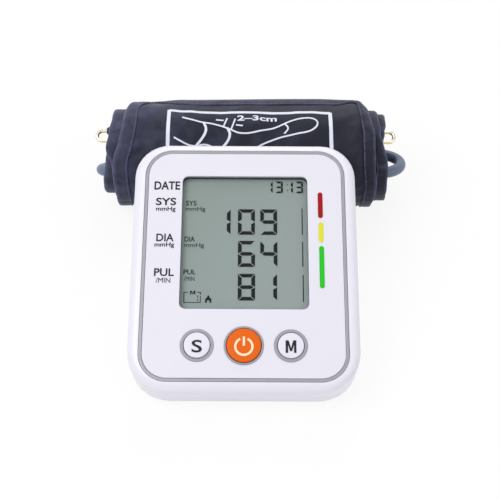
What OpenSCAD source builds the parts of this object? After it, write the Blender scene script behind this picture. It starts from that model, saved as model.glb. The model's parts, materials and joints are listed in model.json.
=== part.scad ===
// Upper-arm blood pressure monitor with its rolled cuff, in millimetres.
// The wedge-shaped unit stands in front, and the wound cuff lies on the table right behind it.
// +X is to the user's right, +Y to the rear, +Z up. The origin is under the middle of unit and roll.
// The feature that takes the most skill is the wound cuff: one tapered band in a spiral, with the
// hose folded into its core.

/* [Case] */
// Width of the case
case_w = 108.4; // [104:0.2:124]
// Length of the sloping face from its front edge to its rear edge
face_len = 127.6; // [126:0.2:140]
// Slope of the face in degrees
face_slope = 20; // [17:0.5:23]
// Height of the face's front edge above the table
front_h = 22; // [21:0.5:28]
// Wall of both case halves
wall = 2.2; // [1.8:0.1:2.6]
// Rounding along the edges of the face
edge_r = 5; // [3.6:0.1:6]
// Rounding along the edges of the base
base_r = 4; // [3:0.1:5]
// Radius of the rear corners
corner_rear_r = 17; // [14:0.5:20]
// Radius of the front corners
corner_front_r = 20; // [14:0.5:22]
// Height of the seam between the case halves
seam_z = 9.5; // [8:0.1:11]
// How far the feet stand out below the base
foot_proud = 1; // [0.6:0.1:1.6]

/* [Face] */
// Width of the trim ring along its centre line
ring_w = 95.6; // [90:0.2:98]
// Length of the trim ring along its centre line
ring_l = 114.6; // [110:0.2:116]
// Corner radius of the trim ring's centre line
ring_r = 12.5; // [10:0.5:16]
// Breadth of the trim ring
ring_t = 1.6; // [1.2:0.1:2.4]
// Distance from the face's front edge to the trim ring's centre line
ring_front = 5.5; // [5:0.1:7]
// Thickness of the face panel
panel_t = 1; // [0.8:0.1:1.4]
// Width of the display window
window_w = 60.9; // [54:0.1:64]
// Length of the display window
window_l = 68; // [60:0.1:70]
// Corner radius of the display window
window_r = 3; // [1:0.5:5]
// Distance from the face's front edge to the display window
window_front = 39.2; // [37:0.1:44]
// Thickness of the display lens
lens_t = 1.2; // [0.8:0.1:1.4]

/* [Buttons] */
// Distance from the face's front edge to the middle of the buttons
button_front = 21.7; // [19:0.1:24]
// Distance between two buttons
button_pitch = 21.66; // [19.5:0.1:24]
// Radius of the power button
power_r = 8; // [6:0.1:8.6]
// Radius of the set and memory buttons
side_button_r = 6.05; // [4:0.05:7]
// Breadth of the bezel around the power button
power_bezel = 0.9; // [0.6:0.1:1.2]
// Breadth of the bezels around the set and memory buttons
side_bezel = 1.4; // [0.8:0.1:1.8]
// How far a button stands out of the face
button_proud = 0.9; // [0.5:0.1:1.5]
// Travel of a button
button_travel = 0.9; // [0.6:0.1:1.0]

/* [Battery bay] */
// Radius of a cell
cell_r = 7.1; // [6.9:0.05:7.3]
// Length of a cell with its contact nub
cell_l = 50.5; // [49:0.1:51]
// Distance between two cells
cell_pitch = 14.8; // [14.7:0.1:15.4]
// Wall of the battery bay
bay_wall = 1.8; // [1.4:0.1:2.2]
// Distance from the case's rear wall to the bay's rear wall
bay_rear = 9; // [8:0.5:12]

/* [Air path] */
// Radius of the pump motor
motor_r = 10.5; // [9:0.25:11]
// Length of the pump motor
motor_l = 27; // [22:0.5:30]
// Radius of the pump head
pump_r = 12; // [10:0.25:12.5]
// Length of the pump head
pump_l = 23; // [18:0.5:26]
// Radius of the bore in the air socket
socket_r = 2.6; // [2.2:0.05:3]
// Depth of the bore in the air socket
socket_depth = 11; // [9:0.5:12]
// Outer radius of the small tubes inside
tube_r = 2.4; // [2.2:0.1:2.8]

/* [Cuff] */
// Outer radius of the roll at the band's tail
roll_r = 29.8; // [28.5:0.1:33]
// Thickness of the band with its bladder
band_t = 2.8; // [2.4:0.1:3]
// Gap between one wrap and the next
wrap_gap = 0.6; // [0.5:0.05:0.8]
// Number of wraps
wraps = 3.1; // [3:0.02:3.2]
// Width of the band at the ring, in the core of the roll
root_w = 155; // [148:1:170]
// Width of the band at the tail
tail_w = 136; // [120:1:146]
// Corner radius of the tail's tip
tip_r = 15; // [8:0.5:20]
// Gap between the case's rear wall and the roll
roll_gap = 0.5; // [0.4:0.1:3]
// Length of the bladder along the band
bladder_l = 220; // [180:5:240]
// Width of the bladder
bladder_w = 118; // [100:1:125]
// Length of the hook patch
hook_l = 55; // [40:1:70]
// Radius of the ring's wire
wire_r = 0.9; // [0.7:0.05:1]

/* [Hose] */
// Outer radius of the hose
hose_r = 3; // [2.6:0.1:3.2]
// Least distance of the hose's runs from the axis of the roll
lane_r = 12.5; // [12.1:0.1:12.6]

/* [Hidden] */
$fn = 64;
HULL_FN = 32;      // facets of the rounded corners inside a hull
EPS = 0.01;        // overlap that joins two solids of one piece

fit = 0.1;         // clearance of pieces that sit in each other
run_gap = 0.3;     // clearance of pieces that move

// Case, worked out
case_d = face_len * cos(face_slope);
floor_z = foot_proud + wall;
rear_inset = corner_rear_r - edge_r + edge_r * tan(45 + face_slope / 2);
front_base_y = corner_front_r - base_r
    + (base_r - (foot_proud + base_r - front_h) * sin(face_slope)) / cos(face_slope);
lip_t = 1;
lip_h = 1.6;

// Face, worked out. n is the height over the face, so the layers below it are negative.
ring_mid = ring_front + ring_l / 2;
window_mid = window_front + window_l / 2;
lens_margin = 1.3;
lens_ledge = 0.8;
plate_n = -(panel_t + wall);            // underside of the case's face
frame_n = plate_n - 0.2;                // top of the display frame
cell_glass_t = 2.2;
glass_w = window_w + 6;
glass_l = window_l + 7;
cell_glass_n = frame_n - 0.4 - cell_glass_t;
board_n = plate_n - 5.4;                // top of the board
board_t = 1.6;
board_w = 92;
board_front = 11.5;
board_l = 101;
frame_margin = 6;
flange_t = 0.9;
flange_n = plate_n - run_gap - flange_t;
stem_n = flange_n - 0.6;
plunger_n = stem_n - button_travel - fit;
BUTTON_X = [-button_pitch, 0, button_pitch];
BUTTON_R = [side_button_r, power_r, side_button_r];
BUTTON_BEZEL = [side_bezel, power_bezel, side_bezel];
key_w = 1.6;       // rib that keeps a button from turning
key_t = 1.2;
key_h = 2.6;

// Screws
post_x = case_w / 2 - 9.6;
POST_Y = [25, case_d - 19];
post_r = 3.6;
screw_r = 1.3;
boss_x = board_w / 2 - 3.6;
BOSS_V = [board_front + 5, board_front + board_l - 30];
foot_x = case_w / 2 - 15;
FOOT_Y = [17, case_d - 8.5];
foot_r = 4.5;
foot_sunk = 0.8;

// Battery bay, worked out
cells = 4;
bay_x = cell_l + 6.5;
bay_y = (cells - 1) * cell_pitch + 2 * cell_r + 1;
bay_back = case_d - bay_rear - bay_wall;
bay_front = bay_back - bay_y;
cell_z = floor_z + run_gap + cell_r;
bay_top = cell_z + cell_r + 0.3;
bay_roof = bay_top + bay_wall;
contact_t = 0.4;
tab_x = 16;
tab_w = 8;
tab_reach = 1.5;
tab_t = 1.2;

// Pump and air path, worked out
pump_y = case_d - 20;
cradle_floor = 1.6;
pump_z = bay_roof + cradle_floor + pump_r + 0.3;
motor_x = 31;
head_x = motor_x - motor_l;
socket_y = case_d * 0.62;
socket_z = 27;
jack_y = case_d * 0.75;
jack_z = 26;
valve_at = [bay_x / 2 + bay_wall + 9.2, case_d - 45];
manifold_at = [-(bay_x / 2 + bay_wall + 4.8), socket_y - 4];
NOZZLE_Y = [-11, -3.5, 4, 11.5];
sensor_n = board_n - board_t - 4.4;
sensor_at = [manifold_at.x,
    (manifold_at.y + NOZZLE_Y[0] + (sensor_n - 5.5) * sin(face_slope)) / cos(face_slope)];

// Roll, worked out. a is the angle wound back from the tail's tip.
pitch = band_t + wrap_gap;
tail_angle = 50;
STEPS = 30;        // rings per wrap
wound = wraps * 360;
function rim_r(a) = roll_r - pitch * a / 360;
function on_roll(r, a) = [r * cos(tail_angle + a), r * sin(tail_angle + a)];
TAIL_STEPS = [0.5, 4, 9, 15, 22, 30];
a_hook = 20;
a_hook_end = a_hook + hook_l / roll_r * 180 / PI;
hook_room = 1;
ANGLES = concat(
    TAIL_STEPS,
    [for (a = [42:360 / STEPS:a_hook_end + 5]) a],
    [a_hook_end + 6.5],
    [for (i = [1:floor((wound - a_hook_end - 8) * STEPS / 360)]) a_hook_end + 6.5 + i * 360 / STEPS],
    [wound]
);
rim = [for (a = ANGLES) on_roll(rim_r(a), a)];
flat_cut = 0.5;
roll_z = -min([for (p = rim) p.y]) - flat_cut;
roll_y = case_d + roll_gap - min([for (p = rim) p.x]);
unit_front = edge_r * (cos(face_slope) + sin(face_slope) - 1);
origin_y = (unit_front + roll_y + max([for (p = rim) p.x])) / 2;
hem_r = wire_r + 1.2;
hem_at = on_roll(roll_r - wound / 360 * pitch - band_t / 2 - 0.65, wound + 7);
bar_gap = 5.6;
ring_out = root_w / 2 + 1.2;
far_bar = hem_at + bar_gap * [cos(205), sin(205)];

// Hose: four runs in the core, joined by half turns. The runs' angles round the axis of the roll.
// Each run lies a little further out where the core has room for it.
LANE = [317, 184, 284, 140];
LANE_OUT = [1.3, 0.5, 1.9, 0];
HALF_TURN = 12;    // rings in a half turn
hose_start = -25;
right_turn_x = 72.2;
left_turn_x = -68;
hidden_turn_x = 50;
hose_end = -36;
RUN_STEP = 12;     // distance between rings on a run
function run_r(k) = lane_r + LANE_OUT[k];
function lane(k) = run_r(k) * [cos(LANE[k]), sin(LANE[k])];
function run_pts(k, from, to) = [
    let (n = ceil(abs(to - from) / RUN_STEP))
    for (i = [0:n]) [from + (to - from) * i / n, lane(k).x, lane(k).y]
];
function turn_pts(k, m, x, side) = [
    let (mid = (lane(k) + lane(m)) / 2, half = (lane(k) - lane(m)) / 2)
    for (i = [1:HALF_TURN - 1])
        let (q = i * 180 / HALF_TURN, p = mid + half * cos(q))
        [x + side * norm(half) * sin(q), p.x, p.y]
];
HOSE = concat(
    run_pts(0, hose_start, right_turn_x), turn_pts(0, 1, right_turn_x, 1),
    run_pts(1, right_turn_x, left_turn_x), turn_pts(1, 2, left_turn_x, -1),
    run_pts(2, left_turn_x, hidden_turn_x), turn_pts(2, 3, hidden_turn_x, 1),
    run_pts(3, hidden_turn_x, hose_end)
);
function along(p, i = 1, s = 0) =
    i >= len(p) ? s : along(p, i + 1, s + norm(p[i] - p[i - 1]));
hose_length = along(HOSE);
hose_clear = min([
    for (i = [0:len(HOSE) - 1]) for (j = [i + 1:len(HOSE) - 1])
        if ((j - i) > 6 && norm(HOSE[i] - HOSE[j]) < 60
            && abs(HOSE[i].x - HOSE[j].x) < RUN_STEP)
            norm([HOSE[i].y - HOSE[j].y, HOSE[i].z - HOSE[j].z]) - 2 * hose_r
]);
echo(hose_length = hose_length, hose_least_gap = hose_clear, wrap_least_gap = wrap_gap);
echo(origin_y = origin_y, roll_y = roll_y, roll_z = roll_z, socket_y = socket_y, jack_y = jack_y);

// ---------- helpers ----------

// Puts its children on the sloping face: x across, y up the slope, z out of the face.
module on_face() {
    translate([0, 0, front_h]) rotate([face_slope, 0, 0]) children();
}

module rounded_rect(w, l, r) {
    square([w - 2 * r, l], center = true);
    square([w, l - 2 * r], center = true);
    for (x = [-1, 1], y = [-1, 1]) translate([x * (w / 2 - r), y * (l / 2 - r)]) circle(r);
}

module plate(w, l, r, n0, n1) {
    translate([0, 0, n0]) linear_extrude(n1 - n0) rounded_rect(w, l, r);
}

module tube(ro, ri, h) {
    difference() {
        cylinder(r = ro, h = h);
        translate([0, 0, -EPS]) cylinder(r = ri, h = h + 2 * EPS);
    }
}

module block(w, l, h) {
    translate([-w / 2, -l / 2, 0]) cube([w, l, h]);
}

module round_corner(r, e) {
    rotate_extrude($fn = HULL_FN) translate([r, 0]) circle(e, $fn = HULL_FN);
}

// The whole unit as one rounded solid, drawn in by inset on every side.
module unit_solid(inset) {
    hull() {
        for (side = [-1, 1]) {
            on_face() translate([side * (case_w / 2 - corner_front_r), corner_front_r, -edge_r])
                round_corner(corner_front_r - edge_r, edge_r - inset);
            on_face() translate([side * (case_w / 2 - corner_rear_r), face_len - rear_inset, -edge_r])
                round_corner(corner_rear_r - edge_r, edge_r - inset);
            translate([side * (case_w / 2 - corner_front_r), front_base_y, foot_proud + base_r])
                round_corner(corner_front_r - base_r, base_r - inset);
            translate([side * (case_w / 2 - corner_rear_r), case_d - corner_rear_r, foot_proud + base_r])
                round_corner(corner_rear_r - base_r, base_r - inset);
        }
    }
}

module slab(z0, z1) {
    translate([-case_w, -case_d, z0]) cube([2 * case_w, 3 * case_d, z1 - z0]);
}

// Joins rings of points, each with the same number, into one closed solid.
module skin(rings) {
    n = len(rings);
    m = len(rings[0]);
    pts = [for (r = rings) for (p = r) p];
    sides = [
        for (i = [0:n - 2]) for (j = [0:m - 1])
            let (k = (j + 1) % m, a = i * m + j, b = i * m + k, c = a + m, d = b + m)
            each [[a, b, d], [a, d, c]]
    ];
    first = [for (j = [1:m - 2]) [0, j + 1, j]];
    last = [for (j = [1:m - 2]) let (o = (n - 1) * m) [o, o + j, o + j + 1]];
    polyhedron(pts, concat(sides, first, last));
}

function unit(v) = v / norm(v);
function tangent(p, i) = unit(p[min(i + 1, len(p) - 1)] - p[max(i - 1, 0)]);
// A direction square to the path, carried along it without twisting.
function carried(p, d, i = 0) =
    let (t = tangent(p, i), e = unit(d - (d * t) * t))
    i == len(p) - 1 ? [e] : concat([e], carried(p, e, i + 1));
function tube_rings(p, r, sides, d) = [
    let (up = carried(p, d))
    for (i = [0:len(p) - 1])
        let (t = tangent(p, i), e = up[i], f = cross(t, e))
        [for (j = [0:sides - 1]) let (q = -j * 360 / sides) p[i] + r * (cos(q) * e + sin(q) * f)]
];

// ---------- case ----------

module lower_case() {
    color("whitesmoke") difference() {
        union() {
            intersection() {
                difference() {
                    unit_solid(0);
                    unit_solid(wall);
                }
                slab(0, seam_z);
            }
            // lip that locates the upper case
            intersection() {
                difference() {
                    unit_solid(wall - lip_t);
                    unit_solid(wall + EPS);
                }
                slab(seam_z - 1, seam_z + lip_h);
            }
            // battery bay
            translate([0, (bay_front + bay_back) / 2, floor_z - EPS])
                block(bay_x + 2 * bay_wall, bay_y + 2 * bay_wall, bay_roof - floor_z);
            for (x = [-post_x, post_x], y = POST_Y) translate([x, y, floor_z - EPS])
                cylinder(r = post_r + 0.6, h = seam_z - floor_z - 1);
            // ribs that stiffen the floor in front of the bay
            for (x = [-24, 0, 24]) translate([x, bay_front - bay_wall - 14, floor_z - EPS])
                block(1.4, 28, 2.4);
        }
        translate([0, (bay_front + bay_back) / 2, 0]) block(bay_x, bay_y, bay_top);
        // slots for the cover's front tabs
        for (x = [-tab_x, tab_x]) translate([x, bay_front - bay_wall / 2, floor_z])
            block(tab_w + 2 * run_gap, bay_wall + 2 * EPS, tab_t + 2.2);
        // screw holes with sunk heads
        for (x = [-post_x, post_x], y = POST_Y) translate([x, y, 0]) {
            cylinder(r = screw_r + 0.3, h = seam_z + 1);
            cylinder(r = 3.1, h = foot_proud + 3.2);
        }
        for (x = [-foot_x, foot_x], y = FOOT_Y) translate([x, y, 0])
            cylinder(r = foot_r + fit, h = foot_proud + foot_sunk);
    }
}

module upper_case() {
    color("white") difference() {
        union() {
            difference() {
                intersection() {
                    unit_solid(0);
                    slab(seam_z, 3 * case_d);
                }
                // the cavity, kept clear of the thicker face plate
                intersection() {
                    unit_solid(wall);
                    on_face() translate([-case_w, -case_d, plate_n - 3 * case_d])
                        cube([2 * case_w, 4 * case_d, 3 * case_d]);
                }
                intersection() {
                    unit_solid(wall - lip_t - fit);
                    slab(0, seam_z + lip_h + fit);
                }
            }
            // screw posts
            for (x = [-post_x, post_x], y = POST_Y) translate([x, y, seam_z - 1])
                cylinder(r = post_r, h = front_h + (y + post_r) * tan(face_slope) - seam_z + 1.2
                    + plate_n / cos(face_slope));
            // bosses that carry the board
            on_face() for (x = [-boss_x, boss_x], v = BOSS_V) translate([x, v, board_n])
                cylinder(r = 2.6, h = plate_n - board_n + EPS);
            // ribs that keep the buttons from turning
            on_face() for (i = [0:2])
                translate([BUTTON_X[i], button_front - BUTTON_R[i] - 1.5, plate_n - key_h])
                    block(key_w, key_t, key_h + EPS);
        }
        on_face() {
            // recess for ring and panel
            translate([0, ring_mid, 0])
                plate(ring_w + ring_t + 2 * fit, ring_l + ring_t + 2 * fit, ring_r + ring_t / 2 + fit,
                    -panel_t, edge_r);
            translate([0, window_mid, 0]) {
                plate(window_w + 2 * (lens_margin + fit), window_l + 2 * (lens_margin + fit),
                    window_r + lens_margin, -panel_t - lens_t, 0);
                plate(window_w + 2 * (lens_margin - lens_ledge), window_l + 2 * (lens_margin - lens_ledge),
                    window_r, plate_n - 1, 0);
            }
            for (i = [0:2]) translate([BUTTON_X[i], button_front, plate_n - 1])
                cylinder(r = BUTTON_R[i] + run_gap, h = 9);
            for (x = [-boss_x, boss_x], v = BOSS_V) translate([x, v, board_n - 1])
                cylinder(r = 0.9, h = 5.4);
        }
        for (x = [-post_x, post_x], y = POST_Y) translate([x, y, 0])
            cylinder(r = screw_r + 0.05, h = seam_z + 9);
        translate([-case_w / 2, socket_y, socket_z]) rotate([0, 90, 0])
            cylinder(r = 5.5, h = 3 * wall, center = true);
        translate([case_w / 2, jack_y, jack_z]) rotate([0, 90, 0])
            cylinder(r = 4.6, h = 3 * wall, center = true);
    }
}

module face_panel() {
    w = ring_w - ring_t - 2 * fit;
    l = ring_l - ring_t - 2 * fit;
    color("lavender") on_face() difference() {
        translate([0, ring_mid, 0]) plate(w, l, ring_r - ring_t / 2 - fit, -panel_t, 0);
        translate([0, window_mid, 0]) plate(window_w, window_l, window_r, -2 * panel_t, 1);
        for (i = [0:2]) translate([BUTTON_X[i], button_front, -2 * panel_t])
            cylinder(r = BUTTON_R[i] + run_gap + BUTTON_BEZEL[i] + 0.05, h = 4 * panel_t);
    }
}

module trim_ring() {
    color("darkgray") on_face() translate([0, ring_mid, 0]) difference() {
        plate(ring_w + ring_t, ring_l + ring_t, ring_r + ring_t / 2, -panel_t, -0.1);
        plate(ring_w - ring_t, ring_l - ring_t, ring_r - ring_t / 2, -panel_t - 1, 1);
    }
}

module rubber_feet() {
    color("dimgray") for (x = [-foot_x, foot_x], y = FOOT_Y) translate([x, y, 0]) {
        cylinder(r = foot_r, h = foot_proud + foot_sunk);
    }
}

module case_screws() {
    color("silver") for (x = [-post_x, post_x], y = POST_Y) translate([x, y, foot_proud + 1.2]) {
        difference() {
            cylinder(r = 2.7, h = 2);
            for (q = [0, 90]) rotate([0, 0, q]) translate([0, 0, -EPS]) block(3, 0.8, 1.1);
        }
        translate([0, 0, 2 - EPS]) cylinder(r = screw_r, h = seam_z + 5 - foot_proud);
    }
}

// ---------- face, display and buttons ----------

module display_lens() {
    color("lightcyan", 0.35) on_face() translate([0, window_mid, 0])
        plate(window_w + 2 * lens_margin, window_l + 2 * lens_margin, window_r + lens_margin - fit,
            -panel_t - lens_t, -panel_t);
}

module lcd_cell() {
    color("darkseagreen") on_face() translate([0, window_mid, 0]) {
        plate(glass_w, glass_l, 0.6, cell_glass_n, cell_glass_n + cell_glass_t / 2);
        translate([0, 1.2, 0])
            plate(glass_w, glass_l - 2.4, 0.6, cell_glass_n + cell_glass_t / 2, cell_glass_n + cell_glass_t);
    }
}

module lcd_frame() {
    w = window_w + 2 * frame_margin;
    l = window_l + 2 * frame_margin;
    color("gainsboro") on_face() translate([0, window_mid, 0]) difference() {
        plate(w, l, 2, board_n, frame_n);
        plate(glass_w + 2 * fit, glass_l + 2 * fit, 0.6, cell_glass_n - fit, frame_n - 0.35);
        plate(window_w + 1, window_l + 1, 1, board_n - 1, frame_n + 1);
        // channels for the two contact strips
        for (y = [-1, 1]) translate([0, y * (window_l / 2 + 2), board_n - 1])
            block(window_w - 4, 2.4, cell_glass_n - board_n + 1);
    }
}

module zebra_strips() {
    color("hotpink") on_face() for (y = [-1, 1])
        translate([0, window_mid + y * (window_l / 2 + 2), board_n])
            block(window_w - 4.6, 1.8, cell_glass_n - board_n);
}

module button_at(i) {
    r = BUTTON_R[i];
    top = button_proud;
    round_r = 0.6;
    profile = concat(
        [[0, flange_n], [r + 1.3, flange_n], [r + 1.3, flange_n + flange_t], [r, flange_n + flange_t]],
        [for (q = [0:15:90]) [r - round_r + round_r * cos(q), top - round_r + round_r * sin(q)]],
        [[0, top]]
    );
    on_face() translate([BUTTON_X[i], button_front, 0]) difference() {
        union() {
            rotate_extrude() polygon(profile);
            translate([0, 0, stem_n]) cylinder(r = 1.6, h = flange_n - stem_n + EPS);
        }
        // notch round the anti-turn rib
        translate([0, -r - 1.5, flange_n - 1]) block(key_w + 2 * run_gap, 1.2 + 2 * run_gap, flange_t + 2);
    }
}

module set_button() { color("white") button_at(0); }
module power_button() { color("darkorange") button_at(1); }
module memory_button() { color("white") button_at(2); }

module button_bezels() {
    color("silver") on_face() for (i = [0:2]) translate([BUTTON_X[i], button_front, -panel_t])
        tube(BUTTON_R[i] + run_gap + BUTTON_BEZEL[i], BUTTON_R[i] + run_gap, panel_t + 0.25);
}

module main_board() {
    color("seagreen") difference() {
        on_face() difference() {
            translate([0, board_front + board_l / 2, 0])
                plate(board_w, board_l, 2, board_n - board_t, board_n);
            for (x = [-boss_x, boss_x], v = BOSS_V) translate([x, v, board_n - 2 * board_t])
                cylinder(r = 1.2, h = 3 * board_t);
        }
        // notches round the case's screw posts
        for (x = [-post_x, post_x], y = POST_Y) translate([x, y, 0])
            cylinder(r = post_r + 0.4, h = case_d);
    }
}

module board_screws() {
    color("silver") on_face() for (x = [-boss_x, boss_x], v = BOSS_V)
        translate([x, v, board_n - board_t]) {
            translate([0, 0, -EPS]) cylinder(r = 0.85, h = board_t + 3.6);
            translate([0, 0, -1.5]) cylinder(r = 2.1, h = 1.5);
        }
}

// Controller, memory and regulator under the board, each with its row of legs.
module board_chips() {
    color("dimgray") on_face() for (c = [[-8, 62, 12, 12], [14, 58, 8, 6], [-26, 44, 6, 5], [24, 36, 7, 7]])
        translate([c[0], c[1], board_n - board_t - 1.7]) {
            block(c[2], c[3], 1.6);
            for (s = [-1, 1]) for (k = [0:3])
                translate([(k - 1.5) * c[2] / 4.4, s * (c[3] / 2 + 0.5), 0.4]) block(0.5, 1.2, 1.3);
        }
}

module pressure_sensor() {
    color("white") on_face() translate([sensor_at.x, sensor_at.y, board_n - board_t]) {
        translate([0, 0, -4.4]) block(9, 9, 4.4);
        translate([0, 0, -9.4]) cylinder(r = 1.6, h = 5 + EPS);
    }
}

module tact_switches() {
    color("gray") on_face() for (x = BUTTON_X) translate([x, button_front, board_n]) {
        block(6, 6, plunger_n - board_n - 0.9);
        cylinder(r = 1.75, h = plunger_n - board_n);
    }
}

module buzzer() {
    color("black") on_face() translate([30, 26, board_n - board_t]) mirror([0, 0, 1])
        tube(6, 1, 5);
}

// ---------- pump and air path ----------

module pump_motor() {
    color("silver") translate([motor_x, pump_y, pump_z]) rotate([0, -90, 0]) {
        intersection() {
            cylinder(r = motor_r, h = motor_l);
            translate([0, 0, motor_l / 2]) cube([2 * motor_r - 4, 3 * motor_r, 2 * motor_l], center = true);
        }
        translate([0, 0, -1.8]) cylinder(r = 3.2, h = 1.8 + EPS);
    }
}

module pump_head() {
    color("ivory") translate([head_x, pump_y, pump_z]) rotate([0, -90, 0]) {
        cylinder(r = pump_r, h = pump_l - 4);
        translate([0, 0, pump_l - 4 - EPS]) cylinder(r = pump_r - 1.5, h = 4);
        translate([0, 0, pump_l - EPS]) tube(1.6, 0.7, 5.5);
        for (q = [45:90:359]) rotate([0, 0, q]) translate([pump_r - 1.4, 0, 0])
            cylinder(r = 1.3, h = pump_l - 3);
    }
}

// Rubber saddle that carries the pump on the roof of the battery bay.
module pump_cradle() {
    color("slategray") difference() {
        for (x = [motor_x - 5, head_x - 5]) translate([x, pump_y, bay_roof])
            block(8, 2 * pump_r + 1, pump_r);
        translate([motor_x + 5, pump_y, pump_z]) rotate([0, -90, 0]) {
            cylinder(r = motor_r + fit, h = motor_l + 5 + EPS);
            translate([0, 0, motor_l + 5]) cylinder(r = pump_r + fit, h = pump_l + 9);
        }
    }
}

module exhaust_valve() {
    color("gainsboro") translate([valve_at.x, valve_at.y, floor_z]) {
        block(13, 16, 1.2);
        translate([0, 0, 1.2 - EPS]) block(11, 13, 10);
        translate([0, 0, 11]) cylinder(r = 4.4, h = 6);
        translate([0, 0, 17 - EPS]) tube(1.6, 0.7, 5.5);
    }
}

// Block with four nozzles, where pump, valve, sensor and socket meet.
module air_manifold() {
    color("white") translate([manifold_at.x, manifold_at.y, floor_z]) {
        block(9, 30, 9);
        for (y = NOZZLE_Y) translate([0, y, 9 - EPS]) tube(1.6, 0.7, 5.5);
    }
}

// Smooth curve through hand-set points, three steps between two of them.
function smooth(p, m = 3) = [
    for (i = [0:len(p) - 2]) for (k = [0:(i == len(p) - 2 ? m : m - 1)])
        let (a = p[max(i - 1, 0)], b = p[i], c = p[i + 1], d = p[min(i + 2, len(p) - 1)], t = k / m)
        (2 * b + (c - a) * t + (2 * a - 5 * b + 4 * c - d) * t * t + (3 * b - a - 3 * c + d) * t * t * t) / 2
];

// A small tube with a bore at each end, where a nozzle goes in; the bores are as deep as given.
module small_tube(p, deep) {
    n = len(p);
    difference() {
        skin(tube_rings(p, tube_r, 8, [0.3, 1, 0.2]));
        for (e = [[p[0], p[1], deep[0]], [p[n - 1], p[n - 2], deep[1]]])
            translate(e[0]) multmatrix(frame_along(e[1] - e[0])) translate([0, 0, -EPS])
                cylinder(r = 1.65, h = e[2]);
    }
}

function frame_along(d) =
    let (w = unit(d), u = unit(cross(abs(w.z) > 0.9 ? [1, 0, 0] : [0, 0, 1], w)), v = cross(w, u))
    [[u.x, v.x, w.x, 0], [u.y, v.y, w.y, 0], [u.z, v.z, w.z, 0], [0, 0, 0, 1]];

module inner_tubes() {
    nozzle = [for (y = NOZZLE_Y) [manifold_at.x, manifold_at.y + y, floor_z + 9.1]];
    down = [0, sin(face_slope), -cos(face_slope)];
    sensor = [sensor_at.x, sensor_at.y * cos(face_slope) - sensor_n * sin(face_slope),
        front_h + sensor_at.y * sin(face_slope) + sensor_n * cos(face_slope)] + 0.1 * down;
    socket = [-case_w / 2 + socket_depth + 0.5, socket_y, socket_z];
    head = [head_x - pump_l - 0.1, pump_y, pump_z];
    valve = [valve_at.x, valve_at.y, floor_z + 17.1];
    over = bay_roof + tube_r + 1;
    rise = [0, 0, 3];
    color("lightgray") {
        small_tube(smooth([sensor, sensor + 3 * down, sensor + 5.5 * down, nozzle[0] + 2 * rise,
            nozzle[0] + rise, nozzle[0]]), [5.2, 5.6]);
        small_tube(smooth([nozzle[1], nozzle[1] + rise, nozzle[1] + 2 * rise,
            [nozzle[1].x + 1.4, nozzle[1].y, over - 1], [nozzle[1].x + 6, nozzle[1].y, over + 1],
            [-14, nozzle[1].y, over], [valve.x - 18, valve.y - 4, over],
            [valve.x - 10, valve.y - 1.5, over + 3.5],
            [valve.x - 6, valve.y, over + 7.5], [valve.x - 2, valve.y, over + 8.5],
            [valve.x, valve.y, over + 6], valve + 2 * rise, valve + rise, valve]), [5.6, 5.6]);
        small_tube(smooth([socket, socket + [2, 0, 0], socket + [4, 0, 0], socket + [6.6, 0, -1.2],
            [nozzle[2].x, nozzle[2].y, socket_z - 3.9], nozzle[2] + 2.6 * rise, nozzle[2] + 2 * rise,
            nozzle[2] + rise, nozzle[2]]), [3.8, 5.6]);
        small_tube(smooth([head, head - [3, 0, 0], head - [6, 0, 0], head + [-12, -2.4, -2],
            [nozzle[3].x + 0.6, pump_y - 8.5, pump_z - 6.5], [nozzle[3].x, nozzle[3].y + 3, over],
            nozzle[3] + 2 * rise, nozzle[3] + rise, nozzle[3]]), [5.6, 5.6]);
    }
}

module air_socket() {
    color("lightgray") translate([-case_w / 2 - 0.6, socket_y, socket_z]) rotate([0, 90, 0]) {
        difference() {
            union() {
                cylinder(r = 6.8, h = 0.6);
                cylinder(r = 5.4, h = socket_depth + 1);
                translate([0, 0, wall + 0.7]) cylinder(r = 6.8, h = 1.6);
                translate([0, 0, socket_depth + 1 - EPS]) cylinder(r = 1.6, h = 3.6);
            }
            translate([0, 0, -EPS]) cylinder(r = socket_r, h = socket_depth + EPS);
        }
    }
}

module power_jack() {
    color("black") translate([case_w / 2 + 0.2, jack_y, jack_z]) rotate([0, -90, 0]) {
        difference() {
            union() {
                cylinder(r = 4.5, h = wall + 0.5);
                translate([0, 0, wall + 0.4]) block(11, 9, 11);
            }
            translate([0, 0, -EPS]) cylinder(r = 2.85, h = 10);
        }
    }
}

// ---------- battery bay ----------

function cell_y(k) = bay_front + 0.5 + cell_r + k * cell_pitch;
function way(k) = k % 2 == 0 ? 1 : -1;

module battery_cells() {
    color("slategray") for (k = [0:cells - 1]) translate([way(k) * (bay_x / 2 - 0.6), cell_y(k), cell_z])
        rotate([0, -90 * way(k), 0]) {
            cylinder(r = 2.7, h = 2);
            translate([0, 0, 1.3]) cylinder(r = cell_r, h = cell_l - 1.3);
        }
}

// Coil springs that press on the flat end of each cell.
module battery_springs() {
    turns = 3;
    per_turn = 10;
    n = turns * per_turn;
    wire = 0.35;
    gap = bay_x - 0.6 - cell_l - contact_t - 0.3;
    coil = [
        for (i = [0:n])
            let (q = i * 360 / per_turn, r = 4.2 - 1.7 * i / n)
            [wire + (gap - 2 * wire) * i / n, r * cos(q), r * sin(q)]
    ];
    color("silver") for (k = [0:cells - 1])
        translate([-way(k) * (bay_x / 2 - contact_t - 0.1), cell_y(k), cell_z])
            mirror([way(k) < 0 ? 1 : 0, 0, 0]) skin(tube_rings(coil, wire, 6, [1, 0.1, 0]));
}

module battery_contacts() {
    color("silver") for (k = [0:cells - 1]) for (s = [-1, 1])
        translate([s * (bay_x / 2 - contact_t / 2 - 0.1), cell_y(k), cell_z - 5.5]) block(contact_t, 11, 11);
}

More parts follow.
